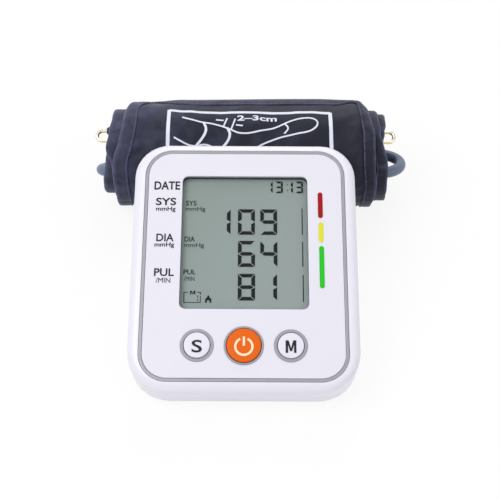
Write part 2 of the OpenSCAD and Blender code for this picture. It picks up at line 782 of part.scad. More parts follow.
// Cover with two front tabs, a finger recess and stiffening ribs inside.
module battery_cover() {
    w = bay_x - 2 * run_gap;
    l = bay_y - 2 * run_gap;
    y0 = bay_front + run_gap;
    color("whitesmoke") difference() {
        union() {
            translate([0, y0 + l / 2, foot_proud]) block(w, l, wall);
            for (x = [-tab_x, tab_x]) translate([x, y0 + (2 - tab_reach) / 2, floor_z + 0.2])
                block(tab_w, 2 + tab_reach, tab_t);
            for (x = [-tab_x, tab_x]) translate([x, y0 + 1, floor_z - EPS]) block(tab_w, 2, 0.4);
        }
        // finger recess on the outside, near the rear edge
        translate([0, y0 + l - 6, foot_proud - 14.2]) rotate([0, 90, 0])
            cylinder(r = 15, h = 22, center = true);
        for (k = [0:3]) translate([0, y0 + l - 22 - 3 * k, foot_proud - EPS]) block(18, 1, 0.5);
    }
}

// ---------- cuff ----------

// Half the width of the band at angle a, widening fast at first, with the tail's corners rounded.
function arc_at(a) = a * PI / 180 * (roll_r - pitch * a / 720);
function half_w(a) =
    let (left = 1 - a / wound, w = root_w / 2 - (root_w - tail_w) / 2 * left * left, s = tip_r - arc_at(a))
    s <= 0 ? w : w - tip_r + sqrt(max(0, tip_r * tip_r - s * s));

// One cross-section of a wound band: outside at radius ro, inside at ri, half as wide as w.
function band_section(a, ro, ri, w) =
    let (c = min(0.9, (ro - ri) / 3),
        xr = [[w - c, ro], [w, ro - c], [w, ri + c], [w - c, ri],
              [c - w, ri], [-w, ri + c], [-w, ro - c], [c - w, ro]])
    [for (q = xr) let (p = on_roll(q[1], a)) [q[0], p.x, p.y]];

function plain_section(a, ro, ri, w) =
    [for (q = [[w, ro], [w, ri], [-w, ri], [-w, ro]]) let (p = on_roll(q[1], a)) [q[0], p.x, p.y]];

// The tail is thinner where the hook patch sits under it.
function under(a) = a < a_hook_end + 6 ? hook_room : 0;
bladder_t = 1;
a_bladder_end = wound - 12;
a_bladder = a_bladder_end - bladder_l / (roll_r - pitch * wraps + pitch * 0.8) * 180 / PI;

module bladder_solid(grow) {
    n = ceil((a_bladder_end - a_bladder) * STEPS / 360);
    skin([
        for (i = [0:n])
            let (a = a_bladder - grow * 2 + (a_bladder_end - a_bladder + grow * 4) * i / n,
                mid = rim_r(a) - band_t / 2, half = bladder_t / 2 + grow)
            plain_section(a, mid + half, mid - half, bladder_w / 2 + grow * 4)
    ]);
}

module at_roll() {
    translate([0, roll_y, roll_z]) children();
}

module cuff_sleeve() {
    color("midnightblue") difference() {
        at_roll() union() {
            difference() {
                skin([for (a = ANGLES)
                    band_section(a, rim_r(a), rim_r(a) - band_t + under(a), half_w(a))]);
                bladder_solid(0.15);
            }
            // hem round one bar of the ring
            translate([-root_w / 2 + 2, hem_at.x, hem_at.y]) rotate([0, 90, 0])
                cylinder(r = hem_r, h = root_w - 4);
        }
        at_roll() translate([-root_w / 2, hem_at.x, hem_at.y]) rotate([0, 90, 0])
            cylinder(r = wire_r + fit, h = root_w);
        // flat where the roll rests on the table
        translate([-root_w, roll_y - roll_r, -roll_r]) cube([2 * root_w, 2 * roll_r, roll_r]);
    }
}

module cuff_bladder() {
    color("dimgray") at_roll() bladder_solid(0);
}

module hook_patch() {
    n = 8;
    color("black") at_roll() skin([
        for (i = [0:n]) let (a = a_hook + (a_hook_end - a_hook) * i / n, r = rim_r(a) - band_t)
            plain_section(a, r + hook_room - run_gap, r + run_gap / 2, tail_w / 2 - 14)
    ]);
}

// Long wire ring: one bar in the hem, the other free for the tail to pass round.
module cuff_ring() {
    mid = (hem_at + far_bar) / 2;
    half = bar_gap / 2;
    q = atan2(hem_at.y - far_bar.y, hem_at.x - far_bar.x);
    color("silver") at_roll() translate([0, mid.x, mid.y]) rotate([q, 0, 0]) {
        for (s = [-1, 1]) translate([-ring_out + half, s * half, 0]) rotate([0, 90, 0])
            cylinder(r = wire_r, h = 2 * (ring_out - half));
        for (s = [-1, 1]) translate([s * (ring_out - half), 0, 0]) intersection() {
            rotate_extrude() translate([half, 0]) circle(wire_r, $fn = 24);
            translate([s > 0 ? 0 : -20, -20, -5]) cube([20, 40, 10]);
        }
    }
}

// Moulded elbow on the inside of the band, where the hose leaves the bladder.
module hose_elbow() {
    inside_r = rim_r(720 + LANE[0] - tail_angle) - band_t;
    color("slategray") at_roll() rotate([LANE[0], 0, 0]) {
        translate([hose_start - 14, run_r(0), 0]) rotate([0, 90, 0]) cylinder(r = hose_r + 0.8, h = 14);
        translate([hose_start - 9, run_r(0), 0]) rotate([-90, 0, 0])
            cylinder(r = 4.2, h = inside_r - run_r(0) - 0.8);
    }
}

module air_hose() {
    color("slategray") at_roll() skin(tube_rings(HOSE, hose_r, 8, [0, 1, 0.2]));
}

// Push-in plug on the hose's far end.
module air_plug() {
    color("gray") at_roll() translate([hose_end, lane(3).x, lane(3).y]) rotate([0, -90, 0]) {
        cylinder(r = 3.6, h = 11);
        translate([0, 0, 11 - EPS]) cylinder(r = 2.5, h = 9);
        for (z = [2.5, 5, 7.5]) translate([0, 0, z]) cylinder(r = 3.9, h = 1.2);
        translate([0, 0, 20 - 2 * EPS]) cylinder(r1 = 2.5, r2 = 1.9, h = 1.5);
    }
}

// ---------- everything, with the origin under the middle ----------

module placed() {
    translate([0, -origin_y, 0]) children();
}

placed() lower_case();
placed() upper_case();
placed() face_panel();
placed() trim_ring();
placed() display_lens();
placed() lcd_cell();
placed() lcd_frame();
placed() zebra_strips();
placed() main_board();
placed() board_chips();
placed() pressure_sensor();
placed() tact_switches();
placed() buzzer();
placed() set_button();
placed() power_button();
placed() memory_button();
placed() button_bezels();
placed() pump_motor();
placed() pump_head();
placed() pump_cradle();
placed() exhaust_valve();
placed() air_manifold();
placed() inner_tubes();
placed() air_socket();
placed() power_jack();
placed() battery_cells();
placed() battery_springs();
placed() battery_contacts();
placed() battery_cover();
placed() case_screws();
placed() board_screws();
placed() rubber_feet();
placed() cuff_sleeve();
placed() cuff_bladder();
placed() hook_patch();
placed() cuff_ring();
placed() hose_elbow();
placed() air_hose();
placed() air_plug();
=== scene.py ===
# %% [markdown]
# # Upper-arm blood pressure monitor with its rolled cuff
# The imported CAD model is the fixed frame: a wedge-shaped unit, and behind it a tapered cuff that
# is wound into a roll with its air hose folded into the core. This lesson gives every rigid piece
# its finish, and makes the soft pieces, the printing and the display as surfaces worked out with
# numpy. All lengths below are in millimetres until they go into a mesh.

# %% Load the frame
import json
import math

import bmesh
import bpy
import numpy as np
from mathutils import Matrix, Vector

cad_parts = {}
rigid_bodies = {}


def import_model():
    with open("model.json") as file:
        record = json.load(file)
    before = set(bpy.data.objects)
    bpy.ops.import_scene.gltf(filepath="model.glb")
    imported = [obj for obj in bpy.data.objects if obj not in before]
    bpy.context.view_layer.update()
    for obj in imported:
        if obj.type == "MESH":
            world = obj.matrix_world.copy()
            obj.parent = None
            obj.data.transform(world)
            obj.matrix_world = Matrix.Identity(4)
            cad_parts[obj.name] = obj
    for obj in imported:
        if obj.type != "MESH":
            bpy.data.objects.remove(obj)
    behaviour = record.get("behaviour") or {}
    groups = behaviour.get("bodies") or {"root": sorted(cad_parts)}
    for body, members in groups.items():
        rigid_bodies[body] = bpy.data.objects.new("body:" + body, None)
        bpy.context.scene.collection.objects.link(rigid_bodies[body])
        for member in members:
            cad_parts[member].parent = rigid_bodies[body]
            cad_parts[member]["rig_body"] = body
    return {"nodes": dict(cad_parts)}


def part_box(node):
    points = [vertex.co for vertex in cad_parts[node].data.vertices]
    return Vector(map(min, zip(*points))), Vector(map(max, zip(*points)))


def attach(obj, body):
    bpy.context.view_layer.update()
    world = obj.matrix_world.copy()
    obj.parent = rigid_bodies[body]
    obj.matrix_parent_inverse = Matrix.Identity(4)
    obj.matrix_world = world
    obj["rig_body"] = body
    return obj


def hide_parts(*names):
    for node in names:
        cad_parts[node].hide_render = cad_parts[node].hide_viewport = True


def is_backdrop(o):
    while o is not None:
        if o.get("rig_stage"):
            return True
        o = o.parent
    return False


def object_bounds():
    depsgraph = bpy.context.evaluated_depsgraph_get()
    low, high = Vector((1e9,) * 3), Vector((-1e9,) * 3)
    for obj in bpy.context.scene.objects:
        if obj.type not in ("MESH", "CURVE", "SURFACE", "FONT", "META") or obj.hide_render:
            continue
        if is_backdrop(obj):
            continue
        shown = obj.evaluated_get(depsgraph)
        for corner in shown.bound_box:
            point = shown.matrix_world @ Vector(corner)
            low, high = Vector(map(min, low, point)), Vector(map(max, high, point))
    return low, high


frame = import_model()
CAD_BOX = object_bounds()
MM = 0.001

# %% [markdown]
# ## Finding the sloping face and the roll
# The unit's face slopes by 20 degrees. Its front panel tells where the face starts, and the plug
# on the hose's far end, which lies in a known lane of the roll's core, tells where the axis is.

# %% Places on the face and in the roll
# Slope of the face, its axes, and where the panel's two ends lie on it, in millimetres.
SLOPE = math.radians(20)
UP_FACE = np.array([0, math.cos(SLOPE), math.sin(SLOPE)])
OUT_OF_FACE = np.array([0, -math.sin(SLOPE), math.cos(SLOPE)])
ACROSS = np.array([1.0, 0, 0])
PANEL_FRONT, PANEL_REAR = 6.55, 119.05
panel_low, panel_high = (np.array(corner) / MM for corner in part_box("face_panel"))
FACE_FOOT = np.array([0, panel_low[1] - PANEL_FRONT * UP_FACE[1],
                      panel_high[2] - PANEL_REAR * UP_FACE[2]])

# Angle and radius, about the roll's axis, of the four lanes that the hose runs in.
LANE_ANGLES = np.radians([317, 184, 284, 140])
LANE_R = np.array([13.8, 13.0, 14.4, 12.5])
plug_low, plug_high = (np.array(corner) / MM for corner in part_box("air_plug"))
PLUG_LANE = np.array([math.cos(LANE_ANGLES[3]), math.sin(LANE_ANGLES[3])])
ROLL_AXIS = (plug_low + plug_high)[1:] / 2 - LANE_R[3] * PLUG_LANE


def on_face(x, v, n):
    """Place on the face: x across, v up the slope from its front edge, n straight out of it."""
    x, v, n = (np.asarray(value, float)[..., None] for value in np.broadcast_arrays(x, v, n))
    return FACE_FOOT + x * ACROSS + v * UP_FACE + n * OUT_OF_FACE


def lane(k):
    """The y and z of hose lane k: its own radius and angle about the axis of the roll."""
    return ROLL_AXIS + LANE_R[k] * np.array([math.cos(LANE_ANGLES[k]), math.sin(LANE_ANGLES[k])])


print("face starts at", FACE_FOOT.round(2), "and the roll's axis is at", ROLL_AXIS.round(2))

# %% [markdown]
# ## Camera
# The photograph looks down on the unit from in front, almost square to the display, with a long
# lens. The places below are given on the face's own axes, where they are easy to reason about.

# %% Camera
EYE, TARGET = on_face(2.6, -98.9, 447.1), on_face(2.6, 68.7, 0)
CAMERA_ROLL = math.radians(0.3)
camera_data = bpy.data.cameras.new("camera")
camera_data.lens, camera_data.sensor_width = 72.2, 36
camera_data.clip_start, camera_data.clip_end = 0.01, 20
camera = bpy.data.objects.new("camera", camera_data)
bpy.context.scene.collection.objects.link(camera)
looking = Vector(TARGET - EYE).to_track_quat("-Z", "Y").to_matrix().to_4x4()
rolled = Matrix.Rotation(CAMERA_ROLL, 4, "Z")
camera.matrix_world = Matrix.Translation(Vector(EYE) * MM) @ looking @ rolled
bpy.context.scene.camera = camera
print("camera at", (EYE * MM).round(3), "distance", np.linalg.norm(TARGET - EYE).round(1), "mm")

# %% [markdown]
# ## From arrays to meshes
# A surface is a grid of points, rows by columns. Its faces are the same index pattern everywhere,
# so one array expression gives them all, and `foreach_set` hands points and faces to Blender.

# %% Faces of a grid
def grid_faces(rows, columns, close_rows=False, close_columns=False, start=0):
    """Quads between neighbours of a grid: corner, next column, next row and column, next row."""
    row = np.arange(rows if close_rows else rows - 1)[:, None]
    column = np.arange(columns if close_columns else columns - 1)[None, :]
    next_row, next_column = (row + 1) % rows, (column + 1) % columns
    corners = [row * columns + column, row * columns + next_column,
               next_row * columns + next_column, next_row * columns + column]
    return start + np.stack(np.broadcast_arrays(*corners), axis=-1).reshape(-1, 4)


def loop_faces(rows, loop):
    """Faces of a closed skin through rows of closed loops: quads between them, and two flat ends."""
    ends = np.array([np.arange(loop)[::-1], (rows - 1) * loop + np.arange(loop)])
    return grid_faces(rows, loop, close_columns=True), ends


print("a 3 by 4 grid has", len(grid_faces(3, 4)), "quads")

# %% Meshes and pieces
def put_in_mesh(name, points, *face_arrays, smooth=True):
    """Mesh from points in millimetres and arrays of faces, each array with its own corner count."""
    mesh = bpy.data.meshes.new(name)
    points = np.asarray(points, float).reshape(-1, 3) * MM
    corners = np.concatenate([np.asarray(faces).ravel() for faces in face_arrays])
    counts = np.concatenate([np.full(len(faces), len(faces[0])) for faces in face_arrays])
    mesh.vertices.add(len(points))
    mesh.vertices.foreach_set("co", points.ravel())
    mesh.loops.add(len(corners))
    mesh.loops.foreach_set("vertex_index", corners.astype(np.int32))
    mesh.polygons.add(len(counts))
    mesh.polygons.foreach_set("loop_start", (np.cumsum(counts) - counts).astype(np.int32))
    mesh.update(calc_edges=True)
    mesh.validate()
    mesh.polygons.foreach_set("use_smooth", np.full(len(mesh.polygons), smooth))
    return mesh


def edited(mesh, *changes):
    """The mesh after each change, which is a function of its bmesh."""
    shape = bmesh.new()
    shape.from_mesh(mesh)
    for change in changes:
        change(shape)
    shape.to_mesh(mesh)
    shape.free()
    return mesh


def merged(distance):
    """Change that joins points closer than the distance, in millimetres."""
    return lambda shape: bmesh.ops.remove_doubles(shape, verts=shape.verts, dist=distance * MM)


def made_outward(mesh):
    """Closed parts get their normals recalculated, so that every face looks out."""
    return edited(mesh, lambda shape: bmesh.ops.recalc_face_normals(shape, faces=shape.faces))


def add_piece(mesh, body, finish=None, stands_for=()):
    """Object of the mesh's name, with its finish, riding on a body of the frame."""
    piece = bpy.data.objects.new(mesh.name, mesh)
    bpy.context.scene.collection.objects.link(piece)
    if finish is not None:
        mesh.materials.clear()
        mesh.materials.append(finish)
    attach(piece, body)
    if stands_for:
        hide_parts(*stands_for)
    return piece


def set_uv(mesh, u, v):
    """UV map from one value pair per vertex, in metres, so that a weave keeps its real scale."""
    corner = np.zeros(len(mesh.loops), np.int32)
    mesh.loops.foreach_get("vertex_index", corner)
    layer = mesh.uv_layers.new(name="cloth")
    layer.data.foreach_set("uv", (np.column_stack([np.ravel(u), np.ravel(v)]) * MM)[corner].ravel())


# %% [markdown]
# ## Shader maths as Python
# A procedural finish is arithmetic on noise. Wrapping a socket in a small class with operators
# makes that arithmetic read as it is meant: each operator adds one Math node.

# %% Sockets with arithmetic
class Value:
    """A socket of one finish. Operators add Math nodes and give back the new socket."""

    def __init__(self, finish, socket):
        self.finish, self.socket = finish, socket

    def maths(self, operation, first, second):
        return self.finish.node("ShaderNodeMath", {"operation": operation}, {0: first, 1: second})

    def __add__(self, other):
        return self.maths("ADD", self, other)

    def __sub__(self, other):
        return self.maths("SUBTRACT", self, other)

    def __rsub__(self, other):
        return self.maths("SUBTRACT", other, self)

    def __mul__(self, other):
        return self.maths("MULTIPLY", self, other)

    def __gt__(self, other):
        return self.maths("GREATER_THAN", self, other)

    __radd__, __rmul__ = __add__, __mul__


class Finish:
    """The node tree of one material."""

    def __init__(self, name):
        self.material = bpy.data.materials.new(name)
        self.material.use_nodes = True
        self.tree = self.material.node_tree
        self.tree.nodes.clear()
        self.output = self.tree.nodes.new("ShaderNodeOutputMaterial")

    def node(self, kind, settings=None, sockets=None, out=0):
        """Adds a node: its settings first, then a number, colour or link for each socket."""
        node = self.tree.nodes.new(kind)
        for name, value in (settings or {}).items():
            if name == "stops":
                for spare in range(len(value) - 2):
                    node.color_ramp.elements.new(0.5)
                for element, (place, colour) in zip(node.color_ramp.elements, value):
                    element.position, element.color = place, colour
            else:
                setattr(node, name, value)
        for name, value in (sockets or {}).items():
            if isinstance(value, Value):
                self.tree.links.new(value.socket, node.inputs[name])
            else:
                node.inputs[name].default_value = value
        return Value(self, node.outputs[out])

    def surface(self, shader):
        self.tree.links.new(shader.socket, self.output.inputs["Surface"])
        return self.material


def srgb(red, green, blue):
    """Colour given as 0 to 255 on a screen, as the linear numbers that a shader takes."""
    values = np.array([red, green, blue]) / 255
    linear = np.where(values < 0.04045, values / 12.92, ((values + 0.055) / 1.055) ** 2.4)
    return (*(float(value) for value in linear), 1.0)


print("mid grey is", np.round(srgb(128, 128, 128)[:3], 3))

# %% [markdown]
# ## Common parts of every finish
# Moulded plastic is never one flat value. It has a faint cloudiness a centimetre across, a fine
# spark-eroded grain, and a roughness that wanders with both. The helpers below give those.

# %% Noise, mixing and the Principled shader
def place_on(finish):
    """The piece's own coordinates, in metres."""
    return finish.node("ShaderNodeTexCoord", out="Object")


def part_of(vector, axis):
    """One of a vector's three numbers: axis 0, 1 or 2."""
    return vector.finish.node("ShaderNodeSeparateXYZ", sockets={"Vector": vector}, out=axis)


def clamped(value):
    return value.finish.node("ShaderNodeClamp", sockets={"Value": value})


def noise(finish, scale, detail=3.0, stretch=(1, 1, 1), distortion=0.0):
    """Noise of the piece's own coordinates; scale is in cells per metre, before any stretch."""
    where = finish.node("ShaderNodeMapping", sockets={"Vector": place_on(finish), "Scale": stretch})
    sockets = {"Vector": where, "Scale": scale, "Detail": detail, "Distortion": distortion}
    return finish.node("ShaderNodeTexNoise", sockets=sockets)


def mixed(finish, factor, first, second):
    """Colour between first and second."""
    sockets = {"Factor": factor, 6: first, 7: second}
    return finish.node("ShaderNodeMix", {"data_type": "RGBA"}, sockets, out=2)


def relief(finish, height, strength, depth):
    """Normal of a surface that rises by depth, in millimetres, where height goes from 0 to 1."""
    sockets = {"Height": height, "Strength": strength, "Distance": depth * MM}
    return finish.node("ShaderNodeBump", sockets=sockets)


def principled(finish, colour, roughness, normal=None, **constants):
    """The shader, with constants set on its own sockets: Coat_Weight=0.2 sets Coat Weight."""
    sockets = {"Base Color": colour, "Roughness": roughness}
    sockets.update({name.replace("_", " "): value for name, value in constants.items()})
    if normal is not None:
        sockets["Normal"] = normal
    return finish.surface(finish.node("ShaderNodeBsdfPrincipled", sockets=sockets))


def scaled(colour, share):
    """The colour made darker or lighter."""
    return (*(value * share for value in colour[:3]), 1.0)


def moulded(name, colour, roughness=0.42, grain=0.35, grain_size=0.35, cloud=0.04, **constants):
    """Injection-moulded plastic: cloudy colour, fine grain, roughness that follows both."""
    finish = Finish(name)
    clouds = noise(finish, 70, 2)
    specks = noise(finish, 1000 / grain_size, 3)
    tint = mixed(finish, clouds, scaled(colour, 1 - cloud), scaled(colour, 1 + cloud / 2))
    rough = roughness + (clouds - 0.5) * 0.08 + (specks - 0.5) * 0.06
    return principled(finish, tint, rough, relief(finish, specks, grain, 0.02), **constants)


def metal(name, colour, roughness, stretch, scale=900):
    """Metal with drawn or brushed marks: noise stretched along one axis of the piece."""
    finish = Finish(name)
    marks = noise(finish, scale, 4, stretch)
    tarnish = noise(finish, 120, 2)
    tint = mixed(finish, tarnish, scaled(colour, 0.86), colour)
    rough = roughness + (marks - 0.5) * 0.2 + (tarnish - 0.5) * 0.1
    return principled(finish, tint, rough, relief(finish, marks, 0.25, 0.01), Metallic=1.0)


def soft_rubber(name, colour, roughness, **constants):
    """Moulded rubber: dull, with a fine bloom of paler dust in its grain."""
    finish = Finish(name)
    bloom = noise(finish, 260, 4)
    grain = noise(finish, 2600, 2)
    tint = mixed(finish, bloom * 0.6, colour, scaled(colour, 1.35))
    rough = roughness + (bloom - 0.5) * 0.16
    return principled(finish, tint, rough, relief(finish, grain, 0.4, 0.03), **constants)


print("three families of finish are ready")

# %% [markdown]
# ## Finishes of the rigid pieces
# The case is a cool white, slightly glossy ABS. The face panel is a printed lavender-white sheet
# with a satin finish, and the trim ring round it is vacuum-metallised plastic. Colours are taken
# from an evenly lit place on each piece and set as plain numbers.

# %% Plastic, metal and rubber
CASE = moulded("case_white", srgb(231, 229, 240), 0.36, 0.25, Coat_Weight=0.12, Coat_Roughness=0.2)
PANEL = moulded("panel_satin", srgb(224, 223, 234), 0.5, 0.3, 0.22, 0.02)
TRIM = moulded("trim_grey", srgb(160, 159, 168), 0.34, 0.2, 0.2, 0.05, Metallic=0.35)
BEZEL = moulded("bezel_grey", srgb(157, 155, 164), 0.32, 0.2, 0.2, 0.05, Metallic=0.35)
BUTTON_WHITE = moulded("button_white", srgb(226, 224, 236), 0.4, 0.25, 0.25, 0.02)
BUTTON_ORANGE = moulded("button_orange", srgb(228, 100, 10), 0.38, 0.25, 0.25, 0.03,
                        Specular_IOR_Level=0.2)
INNER_WHITE = moulded("inner_white", srgb(222, 222, 218), 0.5)
SOCKET_GREY = moulded("socket_grey", srgb(120, 122, 130), 0.45)
CHIP = moulded("chip_black", srgb(38, 38, 42), 0.5, 0.5, 0.15)
PLUG_GREY = moulded("plug_grey", srgb(126, 130, 140), 0.42)
PUMP = moulded("pump_ivory", srgb(214, 206, 184), 0.48)
STEEL = metal("steel_bright", srgb(190, 190, 194), 0.28, (1, 1, 6))
RING_METAL = metal("ring_plated", srgb(226, 216, 190), 0.2, (0.2, 4, 4), 700)
FEET_RUBBER = soft_rubber("feet_rubber", srgb(88, 90, 96), 0.7)
CONTACT_RUBBER = soft_rubber("contact_rubber", srgb(210, 132, 150), 0.6)
SMALL_TUBE = soft_rubber("small_tube", srgb(196, 200, 204), 0.45)
HOSE_RUBBER = soft_rubber("hose_rubber", srgb(92, 104, 130), 0.4, Coat_Weight=0.08,
                          Coat_Roughness=0.3)
ELBOW_RUBBER = soft_rubber("elbow_rubber", srgb(100, 110, 134), 0.5)
BLADDER_RUBBER = soft_rubber("bladder_rubber", srgb(70, 74, 84), 0.45)
print("finishes so far:", len(bpy.data.materials))

# %% [markdown]
# ## Glass, display and board
# The lens is a clear sheet, so it is mostly see-through, and Fresnel lets it gleam at a low
# angle. The liquid crystal cell behind it is grey-green, and its colour is painted a touch lighter
# towards the bottom right, as painted light. The board has copper under green varnish.

# %% Lens, liquid crystal, board and cells
def clear_lens():
    """Acrylic: clear from in front, gleaming at a low angle, with faint wiped smudges."""
    finish = Finish("lens_clear")
    smudge = noise(finish, 60, 3)
    edge_on = finish.node("ShaderNodeFresnel", sockets={"IOR": 1.45})
    alpha = 0.006 + edge_on * 0.4 + smudge * 0.01
    return principled(finish, srgb(84, 92, 92), 0.06 + smudge * 0.06, Alpha=alpha,
                      Specular_IOR_Level=0.5)


def liquid_crystal():
    """Grey-green film whose light share rises along x and falls along y, with slow clouds; the slope is
    painted light.
    """
    finish = Finish("lcd_film")
    across, along = (part_of(place_on(finish), axis) for axis in (0, 1))
    # Painted light: lighter along x and darker along y.
    share = 0.35 + across * 9 - along * 5 + (noise(finish, 50, 2) - 0.5) * 0.3
    tint = mixed(finish, clamped(share), srgb(151, 166, 161), srgb(165, 177, 176))
    fine = noise(finish, 5000, 1)
    return principled(finish, tint, 0.3 + fine * 0.08, relief(finish, fine, 0.15, 0.01))


def circuit_board():
    """Square-cornered copper fields, parted by thin gaps, under green varnish."""
    finish = Finish("board_green")
    fields = finish.node("ShaderNodeTexVoronoi", {"feature": "DISTANCE_TO_EDGE", "distance": "MANHATTAN"},
                         {"Vector": place_on(finish), "Scale": 420.0}, out="Distance")
    copper = fields > 0.12
    tint = mixed(finish, copper, srgb(24, 84, 52), srgb(38, 118, 70))
    return principled(finish, tint, 0.35 + noise(finish, 300) * 0.1,
                      relief(finish, copper, 0.5, 0.03))


def cell_wrap():
    """Shrink wrap: a copper-coloured end and a dark body, parted across the cell's length."""
    finish = Finish("cell_wrap")
    along = part_of(place_on(finish), 0)
    tint = mixed(finish, along > 0.009, srgb(46, 48, 54), srgb(176, 112, 60))
    return principled(finish, tint, 0.3 + noise(finish, 400) * 0.1,
                      relief(finish, noise(finish, 300, 2), 0.2, 0.05), Metallic=0.4)


LENS, LCD, BOARD, CELL = clear_lens(), liquid_crystal(), circuit_board(), cell_wrap()
print("display finishes:", LENS.name, LCD.name)

# %% [markdown]
# ## Cloth, hooks and print
# The cuff is a dense nylon taffeta with a navy dye. It has a fine plain weave, a silky sheen on
# its folds and slow changes of shade, and its colour carries streaks of painted sheen. The weave
# reads the cuff's own UV map, which is the flat cloth in metres, so the threads follow the band
# round its turns. The cloth's colour is painted lighter towards the end that faces the key lamp,
# as painted light, and the binding is painted pale along its two folds, as wear and painted sheen.

# %% Cloth finishes
def woven(name, dark, light, thread=0.45, sheen=0.2, cloud_size=18, roughness=0.5, paler=0.0,
          painted_side_light=0.0, gathers=0.0, worn_and_sheen_folds=()):
    """Plain weave: two sine waves, across and along, cross over and under each other.

    The share of the light shade falls across the cuff by the side-light amount a metre: painted
    light, lighter at the end towards the key lamp. The list of pale folds gives places on the piece's
    first UV axis, in metres, where a fold is painted pale, as wear and as a painted sheen, each with
    its reach.
    """
    finish = Finish(name)
    flat = finish.node("ShaderNodeUVMap", {"uv_map": "cloth"})
    turns = 2 * math.pi / (thread * MM)
    parts = [part_of(flat, axis) for axis in (0, 1)]
    weft, warp = (finish.node("ShaderNodeMath", {"operation": "SINE"}, {0: part * turns}) for part in parts)
    weave = 0.5 + weft * warp * 0.5
    shade = noise(finish, 1000 / cloud_size, 3, distortion=0.6)
    # Streaks of lighter and darker colour along the cloth are painted sheen; the same noise also sets
    # roughness and relief.
    sheen_streak = noise(finish, 220, 4, (0.35, 1, 1))
    across = part_of(place_on(finish), 0)
    # Painted light: the share falls across the cuff, so the colour is lighter towards the key lamp.
    share = (shade - 0.5) * 1.7 + (sheen_streak - 0.5) + 0.45 + paler - across * painted_side_light
    tint = mixed(finish, clamped(share), dark, light)
    # Folds of the binding painted pale: partly wear, partly a painted sheen on the folds.
    for place, reach in worn_and_sheen_folds:
        off = finish.node("ShaderNodeMath", {"operation": "ABSOLUTE"}, {0: parts[0] - place})
        rubbed_and_sheen = (1 - off * (1 / reach)) * (sheen_streak * 1.6 - 0.2)
        tint = mixed(finish, clamped(rubbed_and_sheen), tint, scaled(light, 1.5))
    tint = mixed(finish, weave * 0.18, tint, scaled(dark, 0.6))
    rough = roughness + (weave - 0.5) * 0.12 + (sheen_streak - 0.5) * 0.2
    height = weave * 0.35 + sheen_streak * 0.65 + noise(finish, 380, 3, (0.6, 1, 1)) * gathers
    return principled(finish, tint, rough, relief(finish, height, 0.5, 0.12), Specular_IOR_Level=0.22,
                      Sheen_Weight=sheen, Sheen_Roughness=0.4, Sheen_Tint=srgb(176, 182, 214))


def hook_tape():
    """Hook tape: a close field of stiff little hooks, seen as raised dots."""
    finish = Finish("hook_tape")
    flat = finish.node("ShaderNodeUVMap", {"uv_map": "cloth"})
    dots = finish.node("ShaderNodeTexVoronoi",
                       sockets={"Vector": flat, "Scale": 900.0, "Randomness": 0.35}, out=0)
    tint = mixed(finish, dots, srgb(44, 45, 52), srgb(20, 20, 25))
    return principled(finish, tint, 0.5 + dots * 0.3, relief(finish, 1 - dots, 0.8, 0.5))


def printed(name, colour, roughness=0.45):
    """Ink: nearly even, with the small starved spots that screen printing leaves."""
    finish = Finish(name)
    spots = noise(finish, 900, 3)
    tint = mixed(finish, spots, scaled(colour, 0.93), colour)
    return principled(finish, tint, roughness + spots * 0.1, relief(finish, spots, 0.1, 0.01),
                      Specular_IOR_Level=0.2)


# Both cloths are painted lighter at the end towards the key lamp: painted light.
CLOTH = woven("cuff_nylon", srgb(22, 24, 39), srgb(60, 62, 90), paler=-0.4, painted_side_light=7.0)
BINDING = woven("cuff_binding", srgb(26, 27, 42), srgb(74, 76, 102), 0.8, 0.26, 9, 0.58, -0.14,
                painted_side_light=4.0, gathers=3.5, worn_and_sheen_folds=[(0.002, 0.0013), (0.0072, 0.0016)])
THREAD = woven("cuff_thread", srgb(58, 60, 78), srgb(88, 90, 112), 0.3, 0.1, 5, 0.6)
HOOK = hook_tape()
PRINT_WHITE = printed("print_white", srgb(226, 230, 244), 0.6)
INK_BLACK = printed("ink_black", srgb(32, 31, 36))
LCD_DARK = printed("lcd_dark", srgb(8, 12, 14), 0.5)
LCD_FAINT = printed("lcd_faint", srgb(26, 31, 32), 0.5)
INK_CREAM = printed("ink_cream", srgb(252, 232, 196))
BAR_FINISHES = [printed("bar_red", srgb(160, 6, 14)), printed("bar_yellow", srgb(226, 220, 52)),
                printed("bar_green", srgb(34, 194, 34))]
print("all finishes:", len(bpy.data.materials))

# %% [markdown]
# ## Rigid pieces from the frame
# A CAD node is a set of loose triangles. A copy of it is merged, its flat faces are joined again,
# and its hard edges get the small round that a mould leaves, which catches the light. The copy
# then stands for the node.

# %% Finished copies of the CAD nodes
CREASE = 30


def flat_faces_joined(shape):
    """Change that dissolves every edge whose two faces lie in one plane."""
    bmesh.ops.dissolve_limit(shape, angle_limit=math.radians(0.2), verts=shape.verts, edges=shape.edges)


def finished_copy(node, finish, round_mm):
    """Merged copy of a CAD node with creased edges and, where it shows, a small bevel."""
    source = frame["nodes"][node]
    mesh = source.data.copy()
    mesh.name = node + "_finished"
    for name in [a.name for a in mesh.attributes if a.name.startswith("custom")]:
        mesh.attributes.remove(mesh.attributes[name])
    edited(mesh, merged(0.002), flat_faces_joined)
    mesh.polygons.foreach_set("use_smooth", np.ones(len(mesh.polygons), bool))
    mesh.set_sharp_from_angle(angle=math.radians(CREASE))
    piece = add_piece(mesh, source["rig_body"], finish, [node])
    if round_mm:
        bevel = piece.modifiers.new("mould_round", "BEVEL")
        bevel.width, bevel.segments, bevel.limit_method = round_mm * MM, 2, "ANGLE"
        bevel.angle_limit, bevel.harden_normals = math.radians(CREASE + 5), True
    return piece


